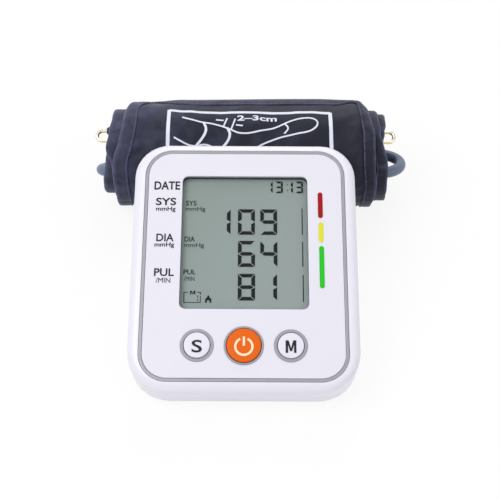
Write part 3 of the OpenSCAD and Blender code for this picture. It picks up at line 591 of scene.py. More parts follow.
RIGID = [
    (CASE, 0.25, "lower_case upper_case"), (CASE, 0.2, "battery_cover"), (PANEL, 0.12, "face_panel"),
    (TRIM, 0.35, "trim_ring"), (BEZEL, 0.12, "button_bezels"), (LENS, 0, "display_lens"),
    (LCD, 0, "lcd_cell"), (INNER_WHITE, 0, "lcd_frame pressure_sensor exhaust_valve air_manifold"),
    (CONTACT_RUBBER, 0, "zebra_strips"), (BOARD, 0, "main_board"),
    (CHIP, 0, "board_chips tact_switches buzzer power_jack"),
    (BUTTON_WHITE, 0, "set_button memory_button"), (BUTTON_ORANGE, 0, "power_button"),
    (STEEL, 0, "pump_motor battery_springs battery_contacts case_screws board_screws"),
    (PUMP, 0, "pump_head"), (FEET_RUBBER, 0, "pump_cradle"), (FEET_RUBBER, 0.2, "rubber_feet"),
    (SMALL_TUBE, 0, "inner_tubes"), (SOCKET_GREY, 0.15, "air_socket"), (CELL, 0, "battery_cells"),
    (RING_METAL, 0, "cuff_ring"), (ELBOW_RUBBER, 0.3, "hose_elbow"), (PLUG_GREY, 0.2, "air_plug")]
rigid = {node: finished_copy(node, finish, round_mm)
         for finish, round_mm, nodes in RIGID for node in nodes.split()}
print("finished copies:", len(rigid), "with", sum(len(p.data.polygons) for p in rigid.values()), "faces")

# %% [markdown]
# ## The air hose
# The real hose is about half a metre of soft 6 mm rubber tube. It is put away in the roll: four
# runs through the core, joined by half turns, and only the turns look out of the roll's ends. A
# tube is a circle carried along a path, and the path here is straight runs and half circles.

# %% Hose
# The hose's radius, the x of its two ends, and then the x at which its three turns begin.
HOSE_R, HOSE_START, HOSE_END = 3.0, -25, -36
RIGHT_TURN, LEFT_TURN, HIDDEN_TURN = 72.2, -68, 50
STEP = 4.0


def straight_run(k, start, end):
    """Points at even steps along lane k."""
    x = np.linspace(start, end, math.ceil(abs(end - start) / STEP) + 1)
    return np.column_stack([x, np.tile(lane(k), (len(x), 1))])


def half_turn(k, m, x, side):
    """Half a circle from lane k to lane m: a cosine across the roll and a sine out along x."""
    q = np.linspace(0, math.pi, 29)[1:-1, None]
    middle, half = (lane(k) + lane(m)) / 2, (lane(k) - lane(m)) / 2
    return np.column_stack([x + side * np.linalg.norm(half) * np.sin(q), middle + half * np.cos(q)])


def unit_rows(vectors):
    """Each vector at length one."""
    return vectors / np.linalg.norm(vectors, axis=-1, keepdims=True)


def run_along(path):
    """Distance along a broken line to each of its points."""
    return np.concatenate([[0], np.cumsum(np.linalg.norm(np.diff(path, axis=0), axis=1))])


def tube_points(path, radius, sides, up):
    """Circles across the path. Their first direction is `up`, made square to the path."""
    along = unit_rows(np.gradient(path, axis=0))
    first = unit_rows(up - (along @ up)[:, None] * along)
    second = np.cross(along, first)
    q = np.linspace(0, 2 * math.pi, sides, endpoint=False)[None, :, None]
    radius = np.broadcast_to(radius, len(path))[:, None, None]
    return path[:, None] + radius * (np.cos(q) * first[:, None] + np.sin(q) * second[:, None])


def closed_tube(name, path, radius, sides, up):
    """Tube with both ends closed by a flat face."""
    rings = tube_points(path, radius, sides, np.asarray(up, float))
    return put_in_mesh(name, rings, *loop_faces(len(path), sides))


hose_path = np.concatenate([
    straight_run(0, HOSE_START, RIGHT_TURN), half_turn(0, 1, RIGHT_TURN, 1),
    straight_run(1, RIGHT_TURN, LEFT_TURN), half_turn(1, 2, LEFT_TURN, -1),
    straight_run(2, LEFT_TURN, HIDDEN_TURN), half_turn(2, 3, HIDDEN_TURN, 1),
    straight_run(3, HIDDEN_TURN, HOSE_END)])
SQUARE_TO_TURNS = (0, math.cos(math.radians(50)), math.sin(math.radians(50)))
hose = add_piece(closed_tube("hose_tube", hose_path, HOSE_R, 20, SQUARE_TO_TURNS), "cuff",
                 HOSE_RUBBER, ["air_hose"])
print("hose centre line:", run_along(hose_path)[-1].round(1), "mm in", len(hose_path), "points")

# %% [markdown]
# ## The cuff as a flat cloth
# The cuff is one tapered band of two nylon layers with a rubber bladder between them. It is
# easiest to design flat: `across` runs over its width, `arc` along its length from the tail's tip,
# and `height` stands out of its outer face. One function then winds it up, so seams, stitches and
# print are all laid out on the flat cloth, as a sewing pattern is.

# %% Winding the flat cloth
# The outer turn's radius, the band's thickness, what the radius loses a turn, and the turns.
ROLL_R, BAND_T, PITCH, WRAPS = 29.8, 2.8, 3.4, 3.1
TAIL_ANGLE, WOUND = math.radians(50), WRAPS * 2 * math.pi
# Widths of the band at the ring and at the tail, and the angles between which the hooks lie.
ROOT_W, TAIL_W = 155.0, 136.0
HOOK_FROM, HOOK_TO = math.radians(20), math.radians(125.7)
# How far the tail is askew, and the heights over the table where cloth touches it and ends.
TAIL_SKEW, TOUCH, LOWEST = 8.0, 0.3, 0.02


def turned(arc):
    """Angle wound at an arc length: the root of arc = R t - p t^2 / (4 pi)."""
    root = np.sqrt(ROLL_R**2 - PITCH * np.asarray(arc, float) / math.pi)
    return 2 * math.pi / PITCH * (ROLL_R - root)


def arc_of(angle):
    """Arc length at a wound angle: R t - p t^2 / (4 pi), the integral of the shrinking radius."""
    return ROLL_R * angle - PITCH * angle**2 / (4 * math.pi)


BAND_LENGTH = arc_of(WOUND)


def smooth_step(value, low, high):
    """0 below low, 1 above high, and an S-shaped rise in between."""
    t = np.clip((np.asarray(value, float) - low) / (high - low), 0, 1)
    return t * t * (3 - 2 * t)


def on_cuff(across, arc, height):
    """Place on the wound band: the radius shrinks by one pitch a turn, and the table flattens it.

    The tail lies a little askew: its left corner reaches further back over the roll. Below the
    height TOUCH, an exponential curve squeezes z towards LOWEST, and so keeps layers in order.
    """
    across, arc, height = np.broadcast_arrays(across, arc, height)
    askew = TAIL_SKEW * smooth_step(-across, 22, 60) * (1 - smooth_step(arc, 2, 36))
    angle = turned(arc - askew)
    radius = ROLL_R - PITCH * angle / (2 * math.pi) + height
    y = ROLL_AXIS[0] + radius * np.cos(TAIL_ANGLE + angle)
    z = ROLL_AXIS[1] + radius * np.sin(TAIL_ANGLE + angle)
    room = TOUCH - LOWEST
    on_table = LOWEST + room * np.exp((np.minimum(z, TOUCH) - TOUCH) / room)
    return np.stack([across, y, np.where(z > TOUCH, z, on_table)], axis=-1)


print("the band is", round(BAND_LENGTH, 1), "mm long and", TAIL_W, "to", ROOT_W, "mm wide")

# %% [markdown]
# ## Two uneven edges
# A hand-wound roll is never quite square: each turn slips sideways by a few millimetres, and a sewn
# edge wavers. So each edge has its own curve, given as pairs of degrees wound and millimetres that
# the edge stays inside the cut width, blurred so that the curve has no corners.

# %% Edges of the band
LEFT_SLIP = [
    (0, 4.5), (52, 4.6), (65, 3.8), (77, 3.0), (85, 1.2), (97, 0.8), (110, 0.8), (127, 1.6), (180, 1.5),
    (300, 2.2), (360, 2.1), (425, 2.5), (437, 1.4), (447, 1.7), (456, 3.4), (468, 4.2), (485, 4.5),
    (497, 5.4), (720, 5.6), (780, 5.6), (797, 4.8), (812, 3.2), (820, 2.8), (832, 2.4), (842, 1.9),
    (850, 1.5), (885, 1.2), (960, 3.0), (1060, 6.0), (1116, 6.5)]
RIGHT_SLIP = [
    (0, 2.3), (52, 2.5), (72, 2.2), (90, 1.9), (108, 1.2), (125, 1.3), (150, 2.3), (180, 2.3), (360, 3.0),
    (396, 3.3), (412, 2.4), (425, 3.0), (433, 2.1), (450, 0.3), (468, -0.2), (485, -0.4), (500, -0.8),
    (540, -0.8), (720, 2.0), (761, 2.1), (772, 3.2), (777, 2.8), (787, 4.8), (800, 4.2), (820, 3.0),
    (850, 3.0), (1000, 3.5), (1116, 4.0)]
LEFT_CORNER, RIGHT_CORNER = 20.0, 11.0


def blurred(pairs, reach=7):
    """The broken line through the pairs, one value a degree, averaged with bell-shaped weights."""
    degrees = np.arange(-reach, math.degrees(WOUND) + reach + 1)
    weights = np.exp(-np.linspace(-2, 2, 2 * reach + 1) ** 2)
    return np.convolve(np.interp(degrees, *zip(*pairs)), weights / weights.sum(), "valid")


LEFT_CURVE, RIGHT_CURVE = blurred(LEFT_SLIP), blurred(RIGHT_SLIP)


def half_width(arc, side):
    """From the band's middle to its edge on side 1 or -1: the cut width less slip and waver."""
    angle = turned(arc)
    cut = ROOT_W / 2 - (ROOT_W - TAIL_W) / 2 * (1 - angle / WOUND) ** 2
    left, right = (np.interp(np.degrees(angle), np.arange(len(curve)), curve)
                   for curve in (LEFT_CURVE, RIGHT_CURVE))
    slip = np.where(side > 0, right, left)
    waver = 0.22 * np.sin(arc / 3.1 + side) * np.sin(arc / 7.3) + 0.3 * np.sin(arc / 5.9 + 2 * side)
    return cut - slip + waver


def corner_radius(side):
    """Round of the tail's corner on side 1 or -1."""
    return np.where(side > 0, RIGHT_CORNER, LEFT_CORNER)


print("edges 40 mm from the tail's tip:", *(half_width(40.0, side).round(1) for side in (-1, 1)))

# %% [markdown]
# ## Seams and folds
# Cloth that is wound and sewn is never smooth. It puckers next to the binding, the tail's two
# corners are pressed down on the roll, and it has soft slanting folds. All of that is one height
# over the flat cloth: sums of slow waves with seeded directions, kept small on the inner turns,
# where the next turn lies right on top, and smooth steps for what is pressed or sunk.

# %% Waves and edges of the flat cloth
# Width of the binding at the left, at the right and over the tail's tip.
EDGE_W_LEFT, EDGE_W_RIGHT, TIP_EDGE_W = 8.0, 6.4, 12.0


def wave_field(across, arc, seed, length, count, slant=0.0, spread=math.pi):
    """Sum of sine waves of about one length, whose directions spread round a slant."""
    waves = np.random.default_rng(seed)
    total = np.zeros(np.broadcast(across, arc).shape)
    headings = slant + spread * (waves.random(count) - 0.5)
    phases, sizes = 2 * math.pi * waves.random(count), 0.7 + 0.6 * waves.random(count)
    for heading, phase, size in zip(headings, phases, sizes):
        turn = 2 * math.pi / (length * size)
        total += np.sin(turn * (across * math.cos(heading) + arc * math.sin(heading)) + phase)
    return total / math.sqrt(count)


def edge_distance(across, arc):
    """Distance to the nearest edge of the flat cloth, round its tail corners too."""
    across, arc = np.broadcast_arrays(np.asarray(across, float), np.asarray(arc, float))
    side = np.where(across < 0, -1, 1)
    width, corner, across = half_width(arc, side), corner_radius(side), np.abs(across)
    straight = np.minimum(width - across, arc)
    in_corner = (across > width - corner) & (arc < corner)
    return np.where(in_corner, corner - np.hypot(across - width + corner, corner - arc), straight)


def edge_width(across, arc):
    """Width of the binding: widest over the tail's end, and wider on the left than on the right."""
    between_corners = smooth_step(across, -52, -36) * (1 - smooth_step(across, 46, 60))
    at_tip = (1 - smooth_step(arc, 12, 26)) * between_corners
    along_side = EDGE_W_LEFT + (EDGE_W_RIGHT - EDGE_W_LEFT) * smooth_step(across, -20, 20)
    return along_side + (TIP_EDGE_W - along_side) * at_tip


print("binding:", *(edge_width(x, 40.0).round(1) for x in (-60, 60)), "mm wide at the sides")

# %% Height of the cloth
# A sinking margin: millimetres a turn, how many turns at most, and the angle it is deepest at.
MARGIN_SINK, SUNK_TURNS, SINK_TOP = 1.4, 2.6, 48
# From the middle to the bladder's side, and to where the margin is thin.
BLADDER_SIDE, MARGIN_SIDE = 60, 66
# Angles wound, in radians, between which the next turn comes to lie on top.
COVERED_FROM, COVERED_TO = 5.6, 6.4


def tip_press(across, arc):
    """The tail's two corners are pressed down on the roll, the left one from further in."""
    left, right = 1 - smooth_step(across, -48, -34), smooth_step(across, 38, 60)
    lean, thick_edge = 1 - smooth_step(across, -60, 40), 1 - smooth_step(across, -64, -58)
    return -(1.1 * lean + 0.95 * left - 0.6 * thick_edge + 0.6 * right) * (1 - smooth_step(arc, 8, 26))


def margin_sink(across, arc, under=0.0):
    """Beside the bladder a turn is thin, so over the top of the roll its margins sink inwards.

    Each turn loses MARGIN_SINK, and a turn sinks by what all the turns inside it lose as well.
    """
    angle = np.degrees(turned(arc))
    top = smooth_step(np.cos(np.radians(angle - SINK_TOP) + TAIL_ANGLE), 0.25, 0.85)
    margin = smooth_step(np.abs(across), BLADDER_SIDE, MARGIN_SIDE)
    return -MARGIN_SINK * np.clip((3 * 360 - angle) / 360 - under, 0, SUNK_TURNS) * top * margin


def loose(arc):
    """1 on the outermost turn, small where another turn lies on top."""
    return 1 - 0.86 * smooth_step(turned(arc), COVERED_FROM, COVERED_TO)


def cloth_height(across, arc):
    """Height of the sewn cloth over the band's nominal face."""
    inward = edge_distance(across, arc) - edge_width(across, arc)
    broad = wave_field(across, arc, seed=7, length=30, count=7, slant=0.3, spread=1.3)
    narrow = wave_field(across, arc, seed=8, length=13, count=9, slant=0.1, spread=2.2)
    folds = (0.62 * broad + 0.3 * narrow) * (0.3 + 0.7 * smooth_step(arc, 12, 44))
    puckers = wave_field(across, arc, seed=9, length=7.5, count=8) * np.exp(-np.maximum(inward, 0) / 6)
    puckers = 0.42 * puckers * (0.35 + 0.65 * smooth_step(arc, 10, 26))
    crown = 0.35 * smooth_step(inward, 1, 14)
    sewn = -0.6 * (1 - smooth_step(inward, -0.3, 2.6))
    free = smooth_step(inward, -0.5, 3) * loose(arc)
    pressed = tip_press(across, arc) + margin_sink(across, arc)
    return sewn + (crown + folds + puckers) * free + pressed


print("height at the middle of the face:", round(float(cloth_height(0.0, 40.0)), 2), "mm")

# %% [markdown]
# ## Sewn band
# The real band is two layers sewn together at their edges. Here it is one closed skin: the outer
# layer from edge to edge, one point round the edge, the inner layer back, and a point round the
# other edge. It is sampled finely on the outermost turn, which shows, and coarsely inside the roll.

# %% Band
# The skin is fine up to this angle in radians, ends inside the binding, and bulges at its edges.
FINE_TURN, UNDER_BINDING, EDGE_BULGE = 6.6, 0.8, 0.35


def thickness(arc):
    """The tail is thinner over the hook patch."""
    return BAND_T - 1.0 * (turned(arc) < HOOK_TO + math.radians(6))


def band_points():
    """Loops round the band, one for each arc length, with their flat coordinates u and v."""
    fine = np.linspace(0.9, arc_of(FINE_TURN), 250)
    coarse = np.linspace(arc_of(FINE_TURN), BAND_LENGTH, 150)[1:]
    arc = np.concatenate([fine, coarse])[:, None]
    share = np.linspace(1, -1, 83)[None, :]
    share = np.sin(share * math.pi / 2) * 0.35 + share * 0.65
    side = np.where(share < 0, -1, 1)
    radius = corner_radius(side)
    missing = radius - np.sqrt(radius**2 - np.maximum(radius - arc, 0) ** 2)
    across = (half_width(arc, side) - UNDER_BINDING - missing) * share
    height = cloth_height(across, arc)
    inward = edge_distance(across, arc) - EDGE_W_RIGHT
    lining = -thickness(arc) + 0.35 * (1 - smooth_step(inward, 0, 3)) + 0.6 * tip_press(across, arc)
    lining = lining + margin_sink(across, arc, 1.0)
    outside, inside = on_cuff(across, arc, height), on_cuff(across, arc, lining)[:, ::-1]
    edges = on_cuff(across, arc, (height + lining) / 2)[:, [0, -1]]
    edges = edges + EDGE_BULGE * np.sign(across[:, [0, -1]])[..., None] * ACROSS
    flat_u = np.concatenate([across, across[:, -1:], across[:, ::-1], across[:, :1]], axis=1)
    loops = np.concatenate([outside, edges[:, 1:], inside, edges[:, :1]], axis=1)
    return loops, flat_u, np.broadcast_to(arc, flat_u.shape)


band_loops, flat_u, flat_v = band_points()
band_mesh = put_in_mesh("cuff_cloth", band_loops, *loop_faces(*flat_u.shape))
set_uv(band_mesh, flat_u, flat_v)
band = add_piece(band_mesh, "cuff", CLOTH, ["cuff_sleeve"])
print("band:", flat_u.size, "points")

# %% [markdown]
# ## Bladder and hook patch
# Two flat pieces ride on the band: the rubber bladder inside it, with rounded edges, and the hook
# patch on the lining under the tail, which holds the roll closed.

# %% Strips wound with the band
def wound_strip(name, start, end, half, outer, inner, columns=33, step=1.6, round_edge=1.5):
    """Closed strip between two heights over the band's face, thinning to rounded long edges."""
    arc = np.linspace(start, end, math.ceil((end - start) / step) + 1)[:, None]
    share = np.linspace(1, -1, columns)[None, :]
    across = half * share
    from_edge = np.clip((1 - np.abs(share)) * half / round_edge, 0, 1)
    taper = (outer - inner) / 2 * (1 - np.sqrt(from_edge)) + 0 * arc
    outside, inside = on_cuff(across, arc, outer - taper), on_cuff(across, arc, inner + taper)[:, ::-1]
    points = np.concatenate([outside[:, :-1], inside[:, :-1]], axis=1)
    rows, loop = points.shape[:2]
    mesh = put_in_mesh(name, points, *loop_faces(rows, loop))
    wide = np.broadcast_to(across, (rows, columns))
    flat_u = np.concatenate([wide[:, :-1], wide[:, ::-1][:, :-1]], axis=1)
    set_uv(mesh, flat_u, np.broadcast_to(arc, (rows, loop)))
    return mesh


BLADDER_L, BLADDER_HALF_W, HOOK_HALF_W = 220, 59, TAIL_W / 2 - 14
BLADDER_END = WOUND - math.radians(12)
BLADDER_START = BLADDER_END - BLADDER_L / (ROLL_R - PITCH * WRAPS + PITCH * 0.8)
bladder_span, hook_span = ([arc_of(angle) for angle in ends]
                           for ends in ((BLADDER_START, BLADDER_END), (HOOK_FROM, HOOK_TO)))
bladder_mesh = wound_strip("bladder_skin", *bladder_span, BLADDER_HALF_W, -0.95, -1.85)
bladder = add_piece(bladder_mesh, "cuff", BLADDER_RUBBER, ["cuff_bladder"])
hook_mesh = wound_strip("hook_strip", *hook_span, HOOK_HALF_W, -BAND_T + 0.7, -BAND_T + 0.17)
add_piece(hook_mesh, "cuff", HOOK, ["hook_patch"])
print("bladder", round(np.ptp(bladder_span)), "mm, hook patch", round(np.ptp(hook_span)), "mm long")

# %% [markdown]
# ## Binding and stitches
# A folded tape closes the raw edges of the band, up one side, round the tail's two corners and
# down the other side. It is a U-shaped profile carried along the outline of the flat cloth, and a
# row of lockstitches runs along its inner edge.

# %% Outline of the flat cloth
def outline(step):
    """Points and inward directions round the open outline, from root to root past the tail."""
    halves = []
    for side in (1, -1):
        radius = float(corner_radius(side))
        side_arc = np.arange(BAND_LENGTH - 1, radius, -step)
        q = np.linspace(0, math.pi / 2, int(radius * 1.57 / step))[1:]
        corner_arc = radius - radius * np.sin(q)
        straight = np.column_stack([half_width(side_arc, side), side_arc])
        corner_x = half_width(corner_arc, side) - radius + radius * np.cos(q)
        halves.append(np.concatenate([straight, np.column_stack([corner_x, corner_arc])]) * [side, 1])
    right, left = halves
    tip_x = np.arange(right[-1, 0] - step, left[-1, 0], -step)
    path = np.concatenate([right, np.column_stack([tip_x, np.zeros(len(tip_x))]), left[::-1]])
    along = unit_rows(np.gradient(path, axis=0))
    return path, np.column_stack([along[:, 1], -along[:, 0]])


edge_path, inward_way = outline(1.4)
print("outline of the band:", len(edge_path), "points, first inward way", inward_way[0].round(2))

# %% Binding tape
# Each point has its place across, from the seam at 1 to the edge at 0, its height over the band's
# face in millimetres, and the share of the band's thickness that it lies below that.
TAPE_PROFILE = [
    (1.0, -0.62, 0), (0.985, -0.1, 0), (0.95, 0.2, 0), (0.89, 0.22, 0), (0.84, -0.04, 0),
    (0.78, 0.04, 0), (0.6, 0.16, 0), (0.3, 0.16, 0), (0.12, 0.10, 0), (0.03, -0.10, 0.18),
    (0.0, 0, 0.5), (0.03, 0, 0.85), (0.15, 0, 1), (0.6, 0, 1.02), (1.0, 0, 1.0), (1.0, 0, 0.88),
    (0.6, 0, 0.86), (0.2, 0, 0.84), (0.12, 0, 0.7), (0.12, 0, 0.3), (0.2, -0.3, 0), (0.6, -0.34, 0),
    (1.0, -0.64, 0)]
PROFILE_STEP = 0.8


def binding_points(path, inward):
    """The profile carried along the path: over the face, round the edge and under the lining."""
    width = edge_width(path[:, 0], path[:, 1])[:, None]
    deep = thickness(path[:, 1])[:, None]
    share, lift, under = np.array(TAPE_PROFILE).T
    x, arc = path[:, :1], path[:, 1:]
    ripple = 0.16 * np.sin(x * 0.9 + arc * 0.83) * np.sin(arc * 0.31)
    wrinkle = 0.2 * np.sin(arc * 1.35 + share * 4) * np.sin(arc * 0.17 + 1) * np.sin(share * math.pi)
    spot = path[:, None] + inward[:, None] * (width * share)[..., None]
    height = lift - under * deep + (ripple + wrinkle) * (under < 0.2) * loose(arc)
    below = np.clip(under, 0, 1)
    height = height + tip_press(spot[..., 0], spot[..., 1]) * (1 - 0.4 * below)
    height = height + margin_sink(spot[..., 0], spot[..., 1], below)
    return on_cuff(spot[..., 0], spot[..., 1], height)


binding_loops = binding_points(edge_path, inward_way)
rows, loop = binding_loops.shape[:2]
binding_mesh = made_outward(put_in_mesh("cuff_edge_tape", binding_loops, *loop_faces(rows, loop)))
run = run_along(edge_path)[:, None]
round_profile = np.arange(loop) * PROFILE_STEP
set_uv(binding_mesh, *(np.broadcast_to(flat, (rows, loop)) for flat in (round_profile, run)))
add_piece(binding_mesh, "cuff", BINDING)
print("binding tape:", round(run[-1, 0]), "mm long,", rows * loop, "points")

# %% Stitches
def stitch_row(name, line, run, pitch=3.0, length=2.0, radius=0.22, sides=6):
    """Short round-ended threads at even steps along the line, each a bowed little tube."""
    t = np.linspace(0, 1, 5)[None, :]
    where = np.arange(2, run[-1] - pitch, pitch)[:, None] + t * length
    across, arc = (np.interp(where, run, line[:, axis]) for axis in (0, 1))
    lay = 0.10 + tip_press(across, arc) + margin_sink(across, arc)
    centre = on_cuff(across, arc, lay + 0.18 * np.sin(math.pi * t) - 0.1)
    outward = unit_rows(on_cuff(across, arc, lay + 1) - on_cuff(across, arc, lay))
    along = unit_rows(centre[:, -1:] - centre[:, :1])
    sideways = np.cross(along, outward)
    q = np.linspace(0, 2 * math.pi, sides, endpoint=False)[:, None]
    round_way = np.cos(q) * outward[:, :, None] + np.sin(q) * sideways[:, :, None]
    size = radius * np.array([0.35, 0.9, 1, 0.9, 0.35])[:, None, None]
    rings = centre[:, :, None] + size * round_way
    starts = np.arange(len(rings))[:, None, None] * 5 * sides
    faces = [(faces + starts).reshape(-1, faces.shape[1]) for faces in loop_faces(5, sides)]
    mesh = put_in_mesh(name, rings, *faces)
    set_uv(mesh, np.zeros(rings[..., 0].size), np.broadcast_to(where[:, :, None], rings.shape[:3]))
    return mesh, len(rings)


STITCH_INSET = 0.9
inset = (edge_width(*edge_path.T) - STITCH_INSET)[:, None]
stitch_mesh, stitches = stitch_row("edge_stitches", edge_path + inward_way * inset, run[:, 0])
add_piece(stitch_mesh, "cuff", THREAD)
print("stitches:", stitches)

# %% [markdown]
# ## Hem round the ring
# At the root the band is folded round one bar of the wire ring and sewn down. The fold is a round
# loop of cloth, a little puckered where it is stitched.

# %% Hem
ring_low, ring_high = (np.array(corner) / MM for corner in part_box("cuff_ring"))
HEM_ANGLE = TAIL_ANGLE + WOUND + math.radians(7)
HEM_FROM_AXIS = ROLL_R - PITCH * WRAPS - BAND_T / 2 - 0.65
HEM_CENTRE = ROLL_AXIS + HEM_FROM_AXIS * np.array([math.cos(HEM_ANGLE), math.sin(HEM_ANGLE)])
HEM_R, HEM_SIDES, HEM_STEP, PAST_LEFT, SHORT_OF_RIGHT = 2.05, 20, 0.66, 2.5, 1
root_left, root_right = (float(half_width(BAND_LENGTH - 1, side)) for side in (-1, 1))
hem_x = np.linspace(-root_left - PAST_LEFT, root_right - SHORT_OF_RIGHT, 150)
hem_path = np.column_stack([hem_x, np.tile(HEM_CENTRE, (len(hem_x), 1))])
hem_size = HEM_R + 0.08 * np.sin(hem_x * 0.8) * np.cos(hem_x * 0.23)
hem_size[[0, -1]] -= 0.35
hem_mesh = closed_tube("cuff_hem", hem_path, hem_size, HEM_SIDES, (0, 0, 1))
set_uv(hem_mesh, np.repeat(hem_x, HEM_SIDES), np.tile(np.arange(HEM_SIDES) * HEM_STEP, len(hem_x)))
add_piece(hem_mesh, "cuff", CLOTH)
print("hem at", HEM_CENTRE.round(1), "and ring from", ring_low.round(1), "to", ring_high.round(1))

# %% [markdown]
# ## Printing on the cuff
# A white frame with a plain line drawing shows where the band goes on the arm. Each line is a thin
# ribbon of ink: a curve on the flat cloth, widened sideways, laid on the cloth's own height.

# %% Ribbons of ink
def spaced(points, step=0.8):
    """The same broken line with points at even steps."""
    points = np.asarray(points, float)
    run = run_along(points)
    where = np.linspace(0, run[-1], max(3, int(run[-1] / step)))
    return np.column_stack([np.interp(where, run, points[:, axis]) for axis in (0, 1)])


def rounded_line(points, rounds=3):
    """Corners cut by a quarter and three quarters, again and again, which makes a smooth curve."""
    points = np.asarray(points, float)
    for _ in range(rounds):
        early, late = points[:-1] * 0.75 + points[1:] * 0.25, points[:-1] * 0.25 + points[1:] * 0.75
        inner = np.stack([early, late], axis=1).reshape(-1, 2)
        points = np.concatenate([points[:1], inner, points[-1:]])
    return points


def ribbon(points, width, low, high, lay_on):
    """Closed flat strip along a line, `width` wide, from height low to high, on any surface."""
    line = spaced(points)
    along = unit_rows(np.gradient(line, axis=0))
    sideways = np.column_stack([-along[:, 1], along[:, 0]]) * width / 2
    corners = [(sideways, high), (-sideways, high), (-sideways, low), (sideways, low)]
    loops = [lay_on(*(line + side).T, np.full(len(line), height)) for side, height in corners]
    return np.stack(loops, axis=1).reshape(-1, 3), *loop_faces(len(line), 4)


def ink_on_cloth(across, arc, height):
    """Place at a height over the cloth's own uneven surface."""
    return on_cuff(across, arc, cloth_height(across, arc) + height)


def join_parts(parts):
    """Several (points, quads, more quads) as one set of arrays."""
    starts = np.cumsum([0] + [len(part[0]) for part in parts[:-1]])
    points = np.concatenate([part[0] for part in parts])
    moved = [faces + start for part, start in zip(parts, starts) for faces in part[1:]]
    return points, np.concatenate(moved)


# Lines as x and arc on the flat cloth: the frame, each with its width, then the arm's outline and
# thumb, the band drawn on the arm, and the marks that show its distance from the elbow.
FRAME_LINES = [([(-40, 20.4), (44, 20.6)], 1.7), ([(-40, 20), (-40.4, 88)], 1.9),
               ([(44, 20.2), (45.4, 88)], 1.9), ([(-40.4, 88), (45.4, 88)], 1.7)]
ARM_LINES = [
    [(-33, 24.6), (-24, 27.2), (-17, 27.6), (-8, 31), (-2.5, 34.2), (9, 31.8), (17, 29.5), (22, 26.6),
     (28, 24.8), (34, 24.4), (37.5, 26.2), (37, 29.8), (33, 32.6), (25, 34), (17, 35.6), (8, 39.6),
     (0, 44.2), (-6, 49)],
    [(-37, 36), (-27, 41), (-20, 38.6), (-12, 44), (-6, 49)], [(20.4, 28), (22.6, 30.4), (20, 33.4)]]
BAND_MARK = [[(-22, 27), (-20, 31), (-22, 36), (-28, 43)],
             [(-9.6, 30.2), (-7.6, 34), (-9.8, 39), (-15.6, 44)]]
MEASURE = [[(-9.6, 24.4), (-11.4, 29.4)], [(-5.4, 24.8), (-7.4, 31)], [(-15.4, 25.4), (-11.4, 25.9)],
           [(-5.0, 28.6), (-1.4, 29.2)]]
lines = FRAME_LINES + [(rounded_line(line), 0.85) for line in ARM_LINES]
lines += [(rounded_line(line), 1.3) for line in BAND_MARK] + [(line, 0.8) for line in MEASURE]
ribbons = [ribbon(points, width, -0.05, 0.1, ink_on_cloth) for points, width in lines]
cuff_print = put_in_mesh("cuff_print", *join_parts(ribbons), smooth=False)
add_piece(made_outward(cuff_print), "cuff", PRINT_WHITE)
print("ribbons on the cuff:", len(lines))

# %% [markdown]
# ## Lettering
# Letters come from Blender's own font: a text object becomes a mesh, is scaled to a wanted height
# and width, and is laid on the surface by the same kind of function as the ribbons.

# %% Letters as solid shapes
def letters(text, height, width=None, bold=0.0):
    """Points of extruded letters with the text's middle at zero, and its faces as index lists."""
    curve = bpy.data.curves.new("letters", "FONT")
    curve.body, curve.extrude, curve.offset, curve.resolution_u = text, 0.5, bold, 4
    holder = bpy.data.objects.new("letters", curve)
    bpy.context.scene.collection.objects.link(holder)
    seen = holder.evaluated_get(bpy.context.evaluated_depsgraph_get())
    mesh = bpy.data.meshes.new_from_object(seen)
    points = np.zeros(len(mesh.vertices) * 3)
    mesh.vertices.foreach_get("co", points)
    faces = [list(polygon.vertices) for polygon in mesh.polygons]
    for made, store in ((holder, bpy.data.objects), (curve, bpy.data.curves), (mesh, bpy.data.meshes)):
        store.remove(made)
    points = points.reshape(-1, 3)
    low, high = points.min(0), points.max(0)
    points = (points - (low + high) / 2) / (high - low)
    shape = (high - low)[0] / (high - low)[1]
    return points * [width or height * shape, height, 1], faces


def lettering(name, items, lay_on, body, finish, thick=0.06):
    """One piece from (text, x, v, height, width, bold); lay_on takes x, v and height."""
    all_points, all_faces, count = [], [], 0
    for text, x, v, height, width, bold in items:
        points, faces = letters(text, height, width, bold)
        all_points.append(lay_on(points[:, 0] + x, points[:, 1] + v, (points[:, 2] + 0.5) * thick))
        all_faces += [[corner + count for corner in face] for face in faces]
        count += len(points)
    mesh = bpy.data.meshes.new(name)
    mesh.from_pydata(np.concatenate(all_points) * MM, [], all_faces)
    return add_piece(edited(mesh, merged(0.001)), body, finish)


# Each word has its middle x and v, its height, its width and how far its strokes are thickened.
FACE_WORDS = [("DATE", -37.9, 102.1, 4.4, 12.5, 0.02), ("SYS", -38.2, 93.6, 3.9, 9.8, 0.018),
              ("mmHg", -38.2, 89.5, 2.9, 9.4, 0.016), ("DIA", -38.1, 74.9, 3.9, 8.3, 0.018),
              ("mmHg", -38.3, 71.0, 2.9, 9.4, 0.016), ("PUL", -38.0, 57.3, 3.9, 9.3, 0.018),
              ("/MIN", -38.3, 53.3, 2.5, 6.9, 0)]
lettering("face_words", FACE_WORDS, on_face, "unit", INK_BLACK, 0.03)
lettering("cuff_words", [("2\u20133cm", 5.9, -24.5, 3.4, 20.6, 0.025)],
          lambda x, v, n: ink_on_cloth(x, -v, n), "cuff", PRINT_WHITE, 0.1)
print("words on the face:", len(FACE_WORDS))

# %% [markdown]
# ## Flat shapes: bars, digits and signs
# The printed bars and the display's segments are flat outlines with a small thickness. A segment
# of a digit is a bar with slanting ends, so that neighbours meet in a thin gap.

